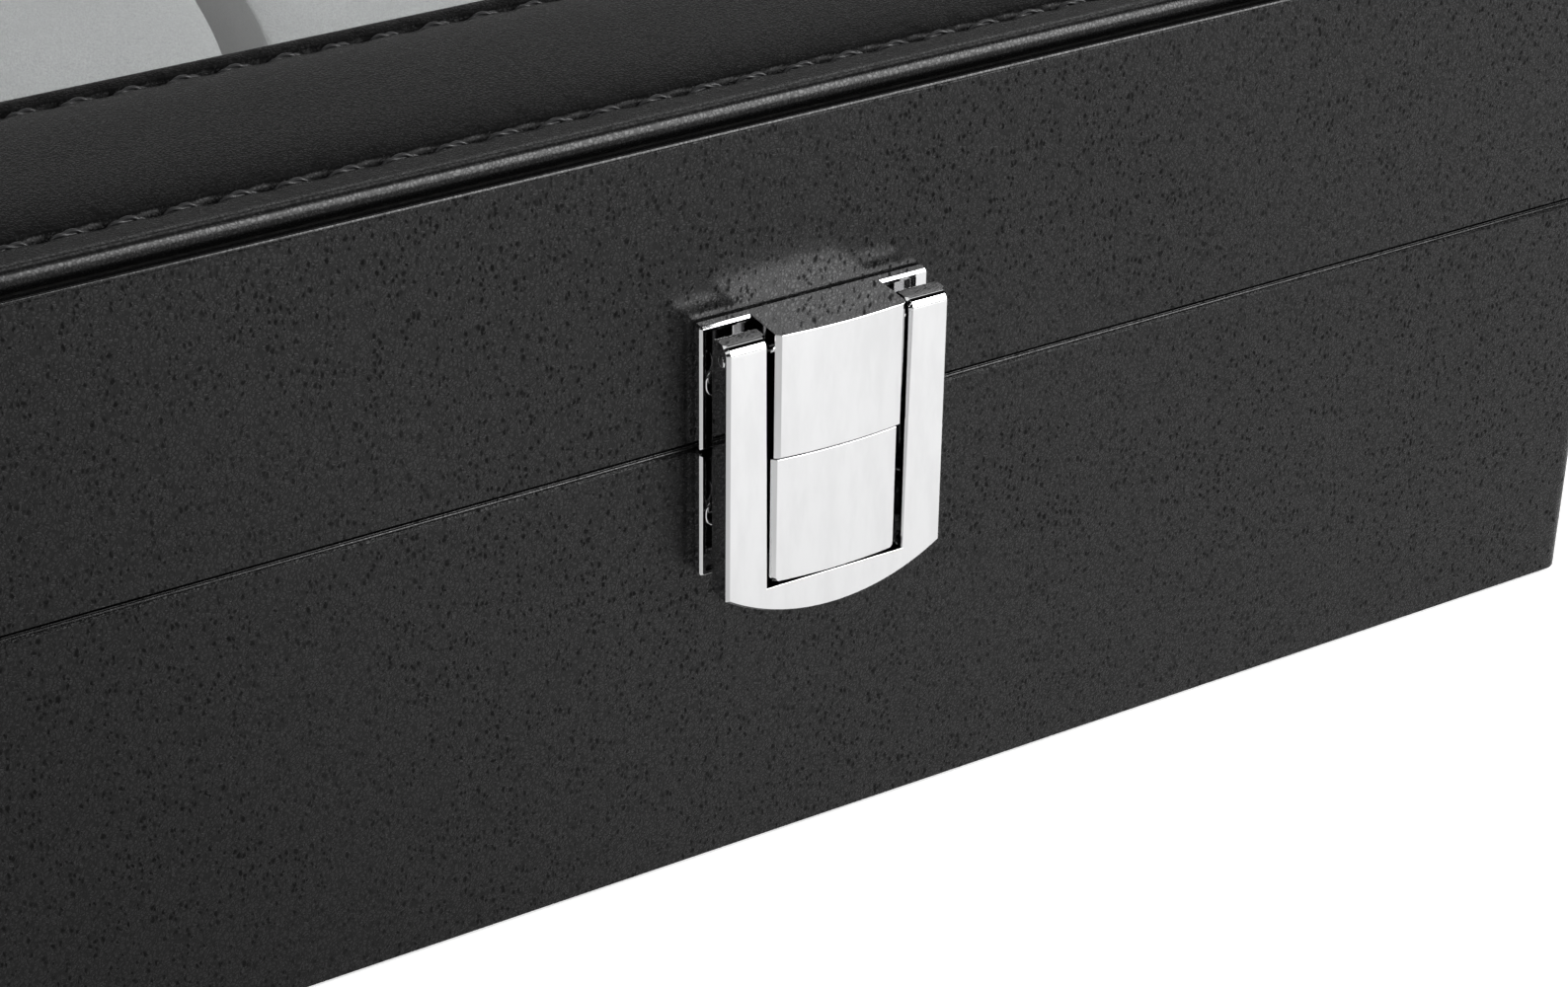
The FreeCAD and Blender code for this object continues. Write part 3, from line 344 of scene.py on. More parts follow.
def leather(name, colour, pit_shade_colour, low_rough, high_rough, relief_mm, body_shine, polish, **grain):
    """Leather whose pebbles are polished, and whose pits and creases are dull and painted darker as shade."""
    material, tree, shader = new_material(name)
    skin = use_group(tree, leather_grain, **grain)
    faded = [c * 0.86 for c in colour[:3]] + [1]
    tone = mix_colours(tree, ease(tree, skin["Mottle"], 0.3, 0.7), colour, faded)
    # Painted shade: the creases between the pebbles and the pits are coloured darker.
    tone = mix_colours(tree, ease(tree, skin["Height"], 0.2, 1.2, 0.35, 0.0), tone, pit_shade_colour)
    tone = mix_colours(tree, skin["Pits"], tone, pit_shade_colour)
    tree.links.new(tone, shader.inputs["Base Color"])
    worn = ease(tree, skin["Height"], 0.0, 1.3, high_rough, low_rough)
    worn = arithmetic(tree, "MULTIPLY_ADD", skin["Mottle"], 0.08, worn)
    worn = arithmetic(tree, "MULTIPLY_ADD", skin["Pits"], 0.5, worn)
    tree.links.new(worn, shader.inputs["Roughness"])
    shader.inputs["Specular IOR Level"].default_value = body_shine
    polish_here = ease(tree, skin["Height"], 0.1, 1.2, 0.45 * polish, 1.1 * polish)
    # Painted shade: the coat is mostly taken out of the pits, so that they stay dark under any light.
    painted_pit_dulling = arithmetic(tree, "MULTIPLY_ADD", skin["Pits"], -0.9, 1.0)
    tree.links.new(arithmetic(tree, "MULTIPLY", polish_here, painted_pit_dulling), shader.inputs["Coat Weight"])
    shader.inputs["Coat Roughness"].default_value = low_rough
    bump = add_node(tree, "Bump", Strength=1.0, Distance=relief_mm * MM, Height=skin["Height"])
    tree.links.new(bump.outputs[0], shader.inputs["Normal"])
    return material, tree, shader


case_leather, tree, shader = leather(
    "case_leather", (0.004, 0.004, 0.0041, 1), (0.001, 0.001, 0.001, 1), low_rough=0.20, high_rough=0.30,
    relief_mm=0.05, body_shine=0.09, polish=0.44)
base_turn_foot, base_turn_top = 60.0, 60.2
lid_foot, lid_face_foot = 60.8, 60.9
groove_shade_foot, groove_shade_top = 100.765, 100.795
height = add_node(tree, "SeparateXYZ", n0=object_place(tree, 1.0)).outputs[2]
# Painted shade: on the flat top of the lid's wall, down in the groove under the padded frame, the coat is almost
# taken away.
scale_input(tree, shader, "Coat Weight", ease(tree, height, groove_shade_foot, groove_shade_top, 1.0, 0.05))
# Painted shade: on the base's top edge, in the seam under the lid, the coat is cut to a quarter.
painted_seam_shade_base = ease(tree, height, base_turn_foot, base_turn_top, 1.0, 0.25)
painted_seam_shade_lid = ease(tree, height, lid_foot, lid_face_foot)
scale_input(tree, shader, "Coat Weight", arithmetic(tree, "MAXIMUM", painted_seam_shade_base, painted_seam_shade_lid))
finish_nodes(case_leather, "base_leather_wrap", "lid_leather_wrap", "drawer_front_leather")

HALF_WIDTH, HALF_DEPTH = 128.0, 100.0


def link_piece(name, mesh, material, body):
    piece = bpy.data.objects.new(name, mesh)
    scene.collection.objects.link(piece)
    mesh.materials.append(material)
    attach(piece, body)
    return piece


def skin_of_rings(name, rings, closed_ends=False):
    """A smooth skin through rings of as many points each, in the order in which they are given."""
    shape = bmesh.new()
    made = [[shape.verts.new(point) for point in ring] for ring in rings]
    for near, far in zip(made, made[1:]):
        for i in range(len(near)):
            j = (i + 1) % len(near)
            shape.faces.new((near[i], near[j], far[j], far[i]))
    if closed_ends:
        shape.faces.new(made[0][::-1])
        shape.faces.new(made[-1])
    bmesh.ops.recalc_face_normals(shape, faces=shape.faces)
    for face in shape.faces:
        face.smooth = True
    mesh = bpy.data.meshes.new(name)
    shape.to_mesh(mesh)
    shape.free()
    return mesh


def rounded_ring(inset, radius, samples_x, samples_y, corner_steps):
    """Points round a rectangle this far inside the case, with how far along its side each lies."""
    half_x, half_y = HALF_WIDTH - inset, HALF_DEPTH - inset
    radius = max(radius, 0.05)
    points = []
    sides = [((-half_x, -half_y), (1, 0), half_x, samples_x), ((half_x, -half_y), (0, 1), half_y, samples_y),
             ((half_x, half_y), (-1, 0), half_x, samples_x), ((-half_x, half_y), (0, -1), half_y, samples_y)]
    for corner, along, half, samples in sides:
        start = Vector(corner) + Vector(along) * radius
        run = 2 * (half - radius)
        inward = Vector((-along[1], along[0]))
        for i in range(samples + 1):
            travelled = run * i / samples
            points.append((start + Vector(along) * travelled, radius + travelled - half))
        centre = start + Vector(along) * run + inward * radius
        for i in range(1, corner_steps):
            angle = math.pi / 2 * i / corner_steps
            spoke = Vector(along) * math.sin(angle) - inward * math.cos(angle)
            points.append((centre + spoke * radius, half))
    return points


def turned_edge(name, material, body, board_edge, radius, above):
    """The rounded edge where the leather turns over the edge of its board, reaching this far above it."""
    case_corner, behind_face, steps = 2.5, 0.01, 12
    rings = []
    for i in range(steps):
        angle = 2 * math.pi * i / steps
        inset = behind_face + radius - radius * math.cos(angle)
        z = board_edge + above + radius * (math.sin(angle) - 1)
        rings.append([Vector((flat.x, flat.y, z)) * MM
                      for flat, along in rounded_ring(inset, case_corner - inset, 1, 1, 6)])
    link_piece(name, skin_of_rings(name, rings + rings[:1]), material, body)


edge_leather, tree, shader = leather(
    "polished_leather_edge", (0.006, 0.006, 0.0061, 1), (0.001, 0.001, 0.001, 1), low_rough=0.18,
    high_rough=0.24, relief_mm=0.01, body_shine=0.1, polish=0.7, Pit_amount=0.3)
turned_edge("base_leather_turned_edge", edge_leather, "base", 60.6, radius=0.15, above=0.28)
turned_edge("lid_leather_lower_edge", case_leather, "lid", 60.96, radius=0.09, above=0.18)
turned_edge("lid_leather_turned_edge", edge_leather, "lid", 100.8, radius=0.30, above=0.10)


# Felt under the base
# A sheet of thin black felt is glued over the leather's turned edges, so that the box does not
# scratch the table.

black_felt, tree, shader = new_material("black_felt")
fluff = cloud(tree, object_place(tree, 0.8), 5.0, 0.75)
felt = mix_colours(tree, ease(tree, fluff, 0.3, 0.7), (0.012, 0.012, 0.013, 1), (0.045, 0.045, 0.047, 1))
tree.links.new(felt, shader.inputs["Base Color"])
shader.inputs["Roughness"].default_value = 0.95
shader.inputs["Specular IOR Level"].default_value = 0.2
shader.inputs["Sheen Weight"].default_value = 0.3
bump = add_node(tree, "Bump", Strength=0.6, Distance=0.0003, Height=fluff)
tree.links.new(bump.outputs[0], shader.inputs["Normal"])
finish_nodes(black_felt, "bottom_felt", "drawer_stop")


# Linings of the watch tier, the lid and the drawer
# Short velvet glued over card and board. Its pile lies a little one way or the other, so it is
# brushed lighter and darker in soft patches.

velvet_pile, given, gives = new_group("velvet_pile", {"Fibre size": 0.35, "Patch size": 24.0},
                                      ("Fibres", "Brushed"))
tree = velvet_pile
place = add_node(tree, "TexCoord").outputs["Object"]
for label, size, detail in (("Fibres", "Fibre size", 4.0), ("Brushed", "Patch size", 2.0)):
    scale = arithmetic(tree, "DIVIDE", 1000.0, given[size])
    spread = add_node(tree, "VectorMath", {"operation": "SCALE"}, n0=place, Scale=scale).outputs[0]
    tree.links.new(add_node(tree, "TexNoise", Vector=spread, Scale=1.0, Detail=detail, Distortion=0.6).outputs[0],
                   gives[label])


def velvet(name, dark, light, sheen, **pile):
    material, tree, shader = new_material(name)
    nap = use_group(tree, velvet_pile, **pile)
    tone = mix_colours(tree, ease(tree, nap["Fibres"], 0.3, 0.7), dark, light)
    tone = mix_colours(tree, ease(tree, nap["Brushed"], 0.45, 0.62, 0.0, 0.35), tone, dark)
    tree.links.new(tone, shader.inputs["Base Color"])
    tree.links.new(ease(tree, nap["Brushed"], 0.4, 0.65, 0.8, 0.95), shader.inputs["Roughness"])
    shader.inputs["Specular IOR Level"].default_value = 0.15
    shader.inputs["Sheen Weight"].default_value = sheen
    shader.inputs["Sheen Roughness"].default_value = 0.35
    bump = add_node(tree, "Bump", Strength=0.5, Distance=0.00025, Height=nap["Fibres"])
    tree.links.new(bump.outputs[0], shader.inputs["Normal"])
    return material


lining_velvet = velvet("lining_velvet", (0.22, 0.22, 0.226, 1), (0.34, 0.34, 0.345, 1), 0.25)
finish_nodes(lining_velvet, "tray_floor_lining", "tray_wall_liners", "tray_long_divider", "tray_cross_dividers",
             "lid_wall_lining", "lid_backing_frame", "drawer_floor_lining", "drawer_long_divider",
             "drawer_cross_dividers")


# Watch pillows
# Ten oval pillows of velvet over wadding. Each is a sleeve with an oval end sewn in on either side,
# so it is full in the middle, drawn in at the end seams, and dimpled a little where it was stuffed.

pillow_velvet = velvet("pillow_velvet", (0.26, 0.26, 0.265, 1), (0.38, 0.38, 0.385, 1), 0.25, Fibre_size=0.3)


def pillow_outline(half_depth, height, count):
    """An oval that is flat where it stands on the floor."""
    flat_part, narrower = 0.12, 0.20
    points = []
    for i in range(count):
        angle = 2 * math.pi * i / count
        y = half_depth * math.copysign(abs(math.cos(angle)) ** 0.82, math.cos(angle))
        z = height / 2 + height / 2 * math.copysign(abs(math.sin(angle)) ** 0.80, math.sin(angle))
        if z < flat_part * height:
            y *= 1 - narrower + narrower * z / (flat_part * height)
        points.append((y, z))
    return points


def pillow_mesh(name, low, high, seed):
    """A sleeve of oval rings inside this box, drawn in at both end seams and a little uneven."""
    unevenness, end_seam, sag = 0.0006, 0.95, 0.42
    half_width = (high.x - low.x) / 2
    half_depth = (high.y - low.y) / 2
    height = high.z - low.z
    middle = (low + high) / 2
    rings = []
    stations = [(-0.80, 0.30), (-0.88, 0.62), (-0.93, 0.84), (-0.93, 0.90), (-0.965, 0.925), (-0.94, 0.945),
                (-0.86, 0.965), (-0.70, 0.985), (-0.45, 0.998), (-0.15, 1.0)]
    stations += [(-along, size) for along, size in reversed(stations)]
    for along, size in stations:
        ring = []
        for y, z in pillow_outline(half_depth * size, height * size, 64):
            lift = (height - height * size) * sag
            point = Vector((middle.x + along * half_width, middle.y + y, low.z + z + lift))
            if abs(along) < end_seam:
                dent_place = Vector((point.x * 90, point.y * 60, point.z * 60)) + Vector((seed * 7.1, 0, 0))
                outward = Vector((0, y, z - height / 2)).normalized()
                point += outward * noise.noise(dent_place) * unevenness
            point.z = max(point.z, low.z)
            ring.append(point)
        rings.append(ring)
    return skin_of_rings(name, rings, closed_ends=True)


for number in range(1, 11):
    node_name = "watch_pillow_%02d" % number
    low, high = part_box(node_name)
    mesh = pillow_mesh("stuffed_pillow_%02d" % number, low, high, number)
    pillow = link_piece("stuffed_pillow_%02d" % number, mesh, pillow_velvet, "base")
    rounding = pillow.modifiers.new("rounding", "SUBSURF")
    rounding.levels = rounding.render_levels = 1
    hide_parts(node_name)


# Drawer runners
# Two strips of low-friction plastic, glued to the floor of the case, that the drawer slides on.

runner_plastic, tree, shader = new_material("runner_plastic")
scuffs = cloud(tree, object_place(tree, 6.0, (0.08, 1, 1)), 4.0, 0.6)
tree.links.new(mix_colours(tree, ease(tree, scuffs, 0.35, 0.7), (0.68, 0.68, 0.66, 1), (0.55, 0.55, 0.53, 1)),
               shader.inputs["Base Color"])
tree.links.new(ease(tree, scuffs, 0.35, 0.7, 0.35, 0.55), shader.inputs["Roughness"])
finish_nodes(runner_plastic, "drawer_runners")


# Padded top frame of the lid
# Leather over a thin foam pad, rolled over and glued at the outer edge and at the glass, and stitched
# down along both, so that it swells between the seams. Its rolled edge is the most worn by handling: its
# coat is made stronger there, most where the highlight falls, and weaker on the lower parts of the roll,
# which is partly wear and partly painted highlight and shade. Down in the stitch grooves the coat is
# taken away: painted shade.

pad_leather, tree, shader = leather(
    "pad_leather", (0.003, 0.003, 0.0031, 1), (0.001, 0.001, 0.001, 1), low_rough=0.20, high_rough=0.28,
    relief_mm=0.045, body_shine=0.04, polish=0.24, Pebble_size=0.5, Pit_amount=0.12)
place = add_node(tree, "SeparateXYZ", n0=object_place(tree, 1.0)).outputs
from_side, from_back = [arithmetic(tree, "SUBTRACT", half, arithmetic(tree, "ABSOLUTE", place[axis]))
                        for axis, half in ((0, HALF_WIDTH), (1, HALF_DEPTH))]
inset = arithmetic(tree, "MINIMUM", from_side, from_back)
# Partly wear, partly painted highlight: the coat is strongest on the roll where its highlight falls.
roll_polish_and_painted_highlight = ease(tree, inset, 1.75, 2.3, 2.7, 5.5)
over_roll = arithmetic(tree, "MULTIPLY", ease(tree, inset, 2.5, 3.6, 1.0, 0.0), roll_polish_and_painted_highlight)
# Painted shade: the lower parts of the roll get less coat.
underside_painted_shade = ease(tree, place[2], 102.1, 103.1, 0.4, 1.0)
handling_and_painted_light = arithmetic(tree, "MULTIPLY", arithmetic(tree, "ADD", over_roll, 1.0), underside_painted_shade)
# Painted shade: down in the stitch grooves, away from the rolled edges, the coat is almost taken away so that the
# grooves stay dark.
groove_painted_shade = ease(tree, place[2], 102.45, 102.9, 0.05, 1.0)
at_edges = arithmetic(tree, "MAXIMUM", ease(tree, inset, 5.5, 6.3, 1.0, 0.0), ease(tree, inset, 40.6, 41.4))
shader.inputs["Coat Roughness"].default_value = 0.27
scale_input(tree, shader, "Coat Weight", handling_and_painted_light)
scale_input(tree, shader, "Coat Weight", arithmetic(tree, "MAXIMUM", groove_painted_shade, at_edges))

outer_stitch_in, inner_stitch_in = 7.9, 39.4
outer_stitch_height, inner_stitch_height = 103.1, 102.9
roll_in, roll_height, roll_radius = 2.8, 102.0, 1.5
inner_roll_in, inner_roll_height, inner_roll_radius = 42.0, 101.8, 1.4
opening_in, tuck_foot = 43.4, 97.1
stitch_pitch = 6.4


def pad_height(inset):
    """Height of the leather over the foam, without the stitches."""
    if inset < outer_stitch_in:
        return 103.5 - 0.4 * (inset - roll_in) / (outer_stitch_in - roll_in)
    if inset > inner_stitch_in:
        return inner_stitch_height + 0.3 * (inset - inner_stitch_in) / (inner_roll_in - inner_stitch_in)
    share = (inset - outer_stitch_in) / (inner_stitch_in - outer_stitch_in)
    swell = 0.95 * (1 - abs(2 * share - 1) ** 3.2)
    return outer_stitch_height - 0.2 * share + swell


def stitch_mark(inset, along):
    """How far the thread pulls the leather down here."""
    depth = 0.0
    for line_in in (outer_stitch_in, inner_stitch_in):
        off = inset - line_in
        if abs(off) < 4:
            phase = (along / stitch_pitch) % 1.0
            hole = math.exp(-(min(phase, 1 - phase) * stitch_pitch / 1.1) ** 2)
            depth += 0.65 * math.exp(-(off / 0.62) ** 2) + 1.5 * hole * math.exp(-(off / 0.48) ** 2)
            depth += 0.12 * hole * math.exp(-(off / 2.0) ** 2)
    return depth


roll_steps, inner_roll_steps = 9, 6
pad_line = [(roll_in, 100.25)]
pad_line += [(roll_in - roll_radius * math.cos(a), roll_height + roll_radius * math.sin(a))
             for a in [math.radians(-90 + 180 * i / roll_steps) for i in range(roll_steps + 1)]]
insets = [3.6, 4.8, 6.0, 6.7, 7.1, 7.4, 7.65, 7.9, 8.15, 8.4, 8.7, 9.1, 9.7, 10.6]
insets += [12.0 + 2.2 * i for i in range(11)]
insets += [35.6, 37.0, 38.0, 38.5, 38.85, 39.15, 39.4, 39.65, 39.95, 40.3, 40.8, 41.4]
pad_line += [(inset, pad_height(inset)) for inset in insets]
pad_line += [(inner_roll_in + inner_roll_radius * math.sin(a), inner_roll_height + inner_roll_radius * math.cos(a))
             for a in [math.radians(90 * i / inner_roll_steps) for i in range(inner_roll_steps + 1)]]
pad_line += [(opening_in, 100.0), (opening_in, tuck_foot), (opening_in - 0.8, tuck_foot)]
rings = []
for inset, z in pad_line:
    corner = max(3.4 - 0.45 * inset, 0.6)
    stitched = 3.2 < inset < 41.6 and z > roll_height
    ring = []
    for flat, along in rounded_ring(inset, corner, samples_x=300, samples_y=234, corner_steps=6):
        sunk = stitch_mark(inset, along) if stitched else 0.0
        ring.append(Vector((flat.x, flat.y, z - sunk)) * MM)
    rings.append(ring)
top_pad = link_piece("padded_leather_frame", skin_of_rings("padded_leather_frame", rings), pad_leather,
                     "lid")
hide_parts("lid_top_pad")


# Stitches of the top frame
# Each stitch is two plies of waxed black thread, twisted together, that come up through one hole of
# the leather and go down through the next.

stitch_thread, tree, shader = new_material("waxed_thread")
strands = cloud(tree, object_place(tree, 0.12), 2.0, 0.6)
waxed = mix_colours(tree, ease(tree, strands, 0.3, 0.7), (0.008, 0.008, 0.0085, 1), (0.03, 0.03, 0.031, 1))
tree.links.new(waxed, shader.inputs["Base Color"])
tree.links.new(ease(tree, strands, 0.3, 0.7, 0.5, 0.3), shader.inputs["Roughness"])


def lay_stitch(shape, middle, along, length, top, twist_from):
    """One stitch of two plies into the shape. middle and along are on the line of holes."""
    sideways = Vector((-along.y, along.x, 0))
    count, around = 15, 6
    ply_radius, ply_lead, end_depth, turns = 0.235, 0.21, 1.2, 1.3
    for ply in (0, 1):
        rows = []
        for i in range(count + 1):
            share = i / count
            rise_at = 1 - abs(2 * share - 1) ** 2.6
            twist = twist_from + ply * math.pi + share * 2 * turns * math.pi
            lead = ply_lead * (0.5 + 0.5 * rise_at)
            centre = middle + along * (share - 0.5) * length + sideways * lead * math.cos(twist)
            centre = centre + Vector((0, 0, top - end_depth * (1 - rise_at) + lead * math.sin(twist)))
            ring = []
            for k in range(around):
                angle = 2 * math.pi * k / around
                out = sideways * math.cos(angle) + Vector((0, 0, 1)) * math.sin(angle)
                ring.append(shape.verts.new((centre + out * ply_radius) * MM))
            rows.append(ring)
        for near, far in zip(rows, rows[1:]):
            for k in range(around):
                m = (k + 1) % around
                shape.faces.new((near[k], near[m], far[m], far[k])).smooth = True


for name, line_in, height in (("outer_stitches", outer_stitch_in, outer_stitch_height),
                              ("inner_stitches", inner_stitch_in, inner_stitch_height)):
    shape = bmesh.new()
    for corner, along, half in (((0, -1), (1, 0), HALF_WIDTH), ((1, 0), (0, 1), HALF_DEPTH),
                                ((0, 1), (-1, 0), HALF_WIDTH), ((-1, 0), (0, -1), HALF_DEPTH)):
        along = Vector((along[0], along[1], 0))
        side_middle = Vector((corner[0] * (HALF_WIDTH - line_in), corner[1] * (HALF_DEPTH - line_in), 0))
        run = half - line_in
        count = int(run / stitch_pitch)
        for i in range(-count - 1, count + 1):
            position = (i + 0.5) * stitch_pitch
            if abs(position) + 0.5 * stitch_pitch > run + 0.4:
                continue
            wobble = noise.noise(Vector((position, half, line_in)))
            lay_stitch(shape, side_middle + along * (position + 0.2 * wobble), along, stitch_pitch * 0.86,
                       height - 0.2 + 0.06 * wobble, 3.0 * wobble)
    bmesh.ops.recalc_face_normals(shape, faces=shape.faces)
    mesh = bpy.data.meshes.new(name)
    shape.to_mesh(mesh)
    shape.free()
    link_piece(name, mesh, stitch_thread, "lid")


# Glass of the lid
# A clear pane, held up against the panel by the lined frame under it. Lamps shine through it.

clear_glass, tree, shader = new_material("clear_glass")
smears = cloud(tree, object_place(tree, 40.0), 5.0, 0.7)
shader.inputs["Base Color"].default_value = (0.96, 0.98, 0.97, 1)
shader.inputs["Transmission Weight"].default_value = 1.0
shader.inputs["IOR"].default_value = 1.5
tree.links.new(ease(tree, smears, 0.5, 0.8, 0.0, 0.04), shader.inputs["Roughness"])
lets_through = add_node(tree, "BsdfTransparent", Color=(0.94, 0.95, 0.95, 1))
pane_rays = add_node(tree, "LightPath").outputs
either = add_node(tree, "MixShader", n0=pane_rays["Is Shadow Ray"], n1=shader.outputs[0],
                  n2=lets_through.outputs[0])
tree.links.new(either.outputs[0], tree.nodes["Material Output"].inputs[0])
finish_nodes(clear_glass, "lid_glass")


# Clasp castings
# Die-cast zinc, polished and chromed: on the lid and on the base, a rimmed plate with a sunk field
# and a block that stands out of it. The block's front swells, and its edges are flats, softly broken.

chrome, tree, shader = new_material("chrome_plate")
polish = cloud(tree, object_place(tree, 2.5, (1, 1, 0.25)), 4.0, 0.6)
waves = cloud(tree, object_place(tree, 9.0), 1.0)
shader.inputs["Metallic"].default_value = 1.0
tree.links.new(mix_colours(tree, ease(tree, polish, 0.35, 0.7), (0.69, 0.69, 0.695, 1), (0.65, 0.65, 0.655, 1)),
               shader.inputs["Base Color"])
tree.links.new(ease(tree, polish, 0.3, 0.75, 0.03, 0.08), shader.inputs["Roughness"])
bump = add_node(tree, "Bump", Strength=0.25, Distance=0.0001, Height=waves)
tree.links.new(bump.outputs[0], shader.inputs["Normal"])

LEATHER_FACE = -100.0


def stand_off(x, out, z):
    """A point this far in front of the leather's face."""
    return Vector((x, LEATHER_FACE - out, z))


def finished_mesh(shape, name):
    """The shape, drawn in millimetres, as a smooth-shaded mesh in metres."""
    bmesh.ops.scale(shape, vec=(MM, MM, MM), verts=shape.verts)
    bmesh.ops.recalc_face_normals(shape, faces=shape.faces)
    for face in shape.faces:
        face.smooth = True
    mesh = bpy.data.meshes.new(name)
    shape.to_mesh(mesh)
    shape.free()
    return mesh


def break_edges(piece, width_mm, sharper_than=25.0, segments=2):
    edges = piece.modifiers.new("broken_edges", "BEVEL")
    edges.width = width_mm * MM
    edges.segments = segments
    edges.limit_method = "ANGLE"
    edges.angle_limit = math.radians(sharper_than)
    edges.harden_normals = True


def cornered(x0, x1, z0, z1, low_radius, high_radius, steps=5):
    """Corners of a rectangle in the front view, each rounded."""
    points = []
    for x, z, radius, start in ((x0, z0, low_radius, 180), (x1, z0, low_radius, 270),
                                (x1, z1, high_radius, 0), (x0, z1, high_radius, 90)):
        centre_x = x + radius if x == x0 else x - radius
        centre_z = z + radius if z == z0 else z - radius
        for i in range(steps + 1):
            angle = math.radians(start + 90 * i / steps)
            points.append((centre_x + radius * math.cos(angle), centre_z + radius * math.sin(angle)))
    return points


def bridge(shape, near, far):
    for i in range(len(near)):
        j = (i + 1) % len(near)
        shape.faces.new((near[i], near[j], far[j], far[i]))


def ring_at(shape, points, out):
    return [shape.verts.new(stand_off(x, out, z)) for x, z in points]


def casting(name, node, z0, z1, low_radius, high_radius, block_z0, block_z1, side, round_foot):
    """A plate from z0 to z1 and its block, whose flanks stand off by side and whose front swells."""
    plate_half, rim_left, rim, rim_right, thickness, sunk = 15.65, 0.75, 0.75, 1.8, 1.8, 0.55
    block_half, flat, slope, back_groove, bulge, columns = 8.85, 0.6, 0.32, 0.22, 0.5, 14
    shape = bmesh.new()

    def outline(inset):
        return cornered(-plate_half + inset, plate_half - inset, z0 + inset, z1 - inset,
                        max(low_radius - inset, 0.08), max(high_radius - inset, 0.08))

    field = cornered(-plate_half + rim_left, plate_half - rim_right, z0 + rim, z1 - rim,
                     max(low_radius - rim, 0.12), max(high_radius - rim, 0.12))
    rings = [ring_at(shape, outline(back_groove), 0.02), ring_at(shape, outline(0), 0.4),
             ring_at(shape, outline(0), thickness - slope), ring_at(shape, outline(slope), thickness),
             ring_at(shape, field, thickness), ring_at(shape, field, thickness - sunk)]
    for near, far in zip(rings, rings[1:]):
        bridge(shape, near, far)
    shape.faces.new(rings[0])
    shape.faces.new(rings[-1])
    rows = [(block_z0, 0.30), (block_z0 + 0.28, 0.0)]
    rows += [(block_z0 + round_foot * share, 0.0) for share in (0.35, 0.6, 0.8, 1.0) if round_foot]
    rows += [(block_z1 - 0.1, 0.0), (block_z1, 0.1)]
    loops = []
    for z, lowered in rows:
        below = max(0.0, block_z0 + round_foot - z)
        drawn_in = round_foot - math.sqrt(max(round_foot ** 2 - below ** 2, 0.0)) if round_foot else 0.0
        half = block_half - drawn_in
        points = [(-half, 1.0), (-half, side - flat)]
        for i in range(columns + 1):
            share = 2 * i / columns - 1
            points.append((share * (half - flat), side + bulge * (1 - share * share) - lowered))
        points += [(half, side - flat), (half, 1.0)]
        loops.append([shape.verts.new(stand_off(x, out, z)) for x, out in points])
    for near, far in zip(loops, loops[1:]):
        bridge(shape, near, far)
    shape.faces.new(loops[0])
    shape.faces.new(loops[-1])
    piece = link_piece(name, finished_mesh(shape, name), chrome, nodes[node]["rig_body"])
    break_edges(piece, 0.05)
    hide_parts(node)


casting("clasp_upper_casting", "clasp_upper_plate", 60.98, 77.6, low_radius=0.4, high_radius=0.4,
        block_z0=61.0, block_z1=77.603, side=7.95, round_foot=0.0)
casting("clasp_lower_casting", "clasp_lower_plate", 43.4, 60.58, low_radius=0.6, high_radius=0.4,
        block_z0=43.3, block_z1=60.56, side=7.2, round_foot=1.0)


# Screws of the clasp
# Small cross-head screws with domed, chromed heads, sunk in the plates' fields.

def turned(name, profile, start, along, segments=40, cross=None):
    """A turned piece: profile gives how far along the axis and how thick, cross a recess for the driver."""
    shape = bmesh.new()
    along = Vector(along)
    side = along.orthogonal().normalized()
    other = along.cross(side)
    rings = []
    for travel, radius in profile:
        centre = Vector(start) + along * travel
        rings.append([shape.verts.new(centre + (side * math.cos(a) + other * math.sin(a)) * radius)
                      for a in [2 * math.pi * i / segments for i in range(segments)]])
    if cross:
        width, length, depth = cross
        top = profile[-1][0]
        for shrink, travel in ((1.0, top + 0.02), (0.75, top - depth)):
            ring = []
            for i in range(segments):
                angle = 2 * math.pi * i / segments
                c, s = max(abs(math.cos(angle)), 1e-6), max(abs(math.sin(angle)), 1e-6)
                radius = max(min(length / c, width / s), min(length / s, width / c)) * shrink
                centre = Vector(start) + along * travel
                ring.append(shape.verts.new(centre + (side * math.cos(angle) + other * math.sin(angle)) * radius))
            rings.append(ring)
    for near, far in zip(rings, rings[1:]):
        bridge(shape, near, far)
    shape.faces.new(rings[0])
    shape.faces.new(rings[-1])
    return finished_mesh(shape, name)


def fitted_heads(name, node, material, places, along, profile, cross):
    """One piece for each screw head, and the node they stand for."""
    for number, (x, y, z) in enumerate(places, 1):
        title = "%s_%d" % (name, number)
        head = link_piece(title, turned(title, profile, (x, y, z), along, cross=cross), material,
                          nodes[node]["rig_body"])
        break_edges(head, 0.04, 40.0)
        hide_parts(node)


dome = [(0.0, 1.94), (0.16, 1.95), (0.24, 1.92), (0.32, 1.83), (0.38, 1.66), (0.44, 1.35), (0.48, 1.0),
        (0.5, 0.85)]
plate_field = LEATHER_FACE - 1.25
for name, node, z in (("clasp_upper_screw", "clasp_upper_screws", 69.7),
                      ("clasp_lower_screw", "clasp_lower_screws", 51.9)):
    fitted_heads(name, node, chrome, [(x, plate_field, z) for x in (-13.0, 11.8)], (0, -1, 0),
                 dome, cross=(0.24, 0.82, 0.4))


# Cross pin of the clasp
# A short chromed pin, pressed through the upper block, whose peened ends show on the lever's arms.

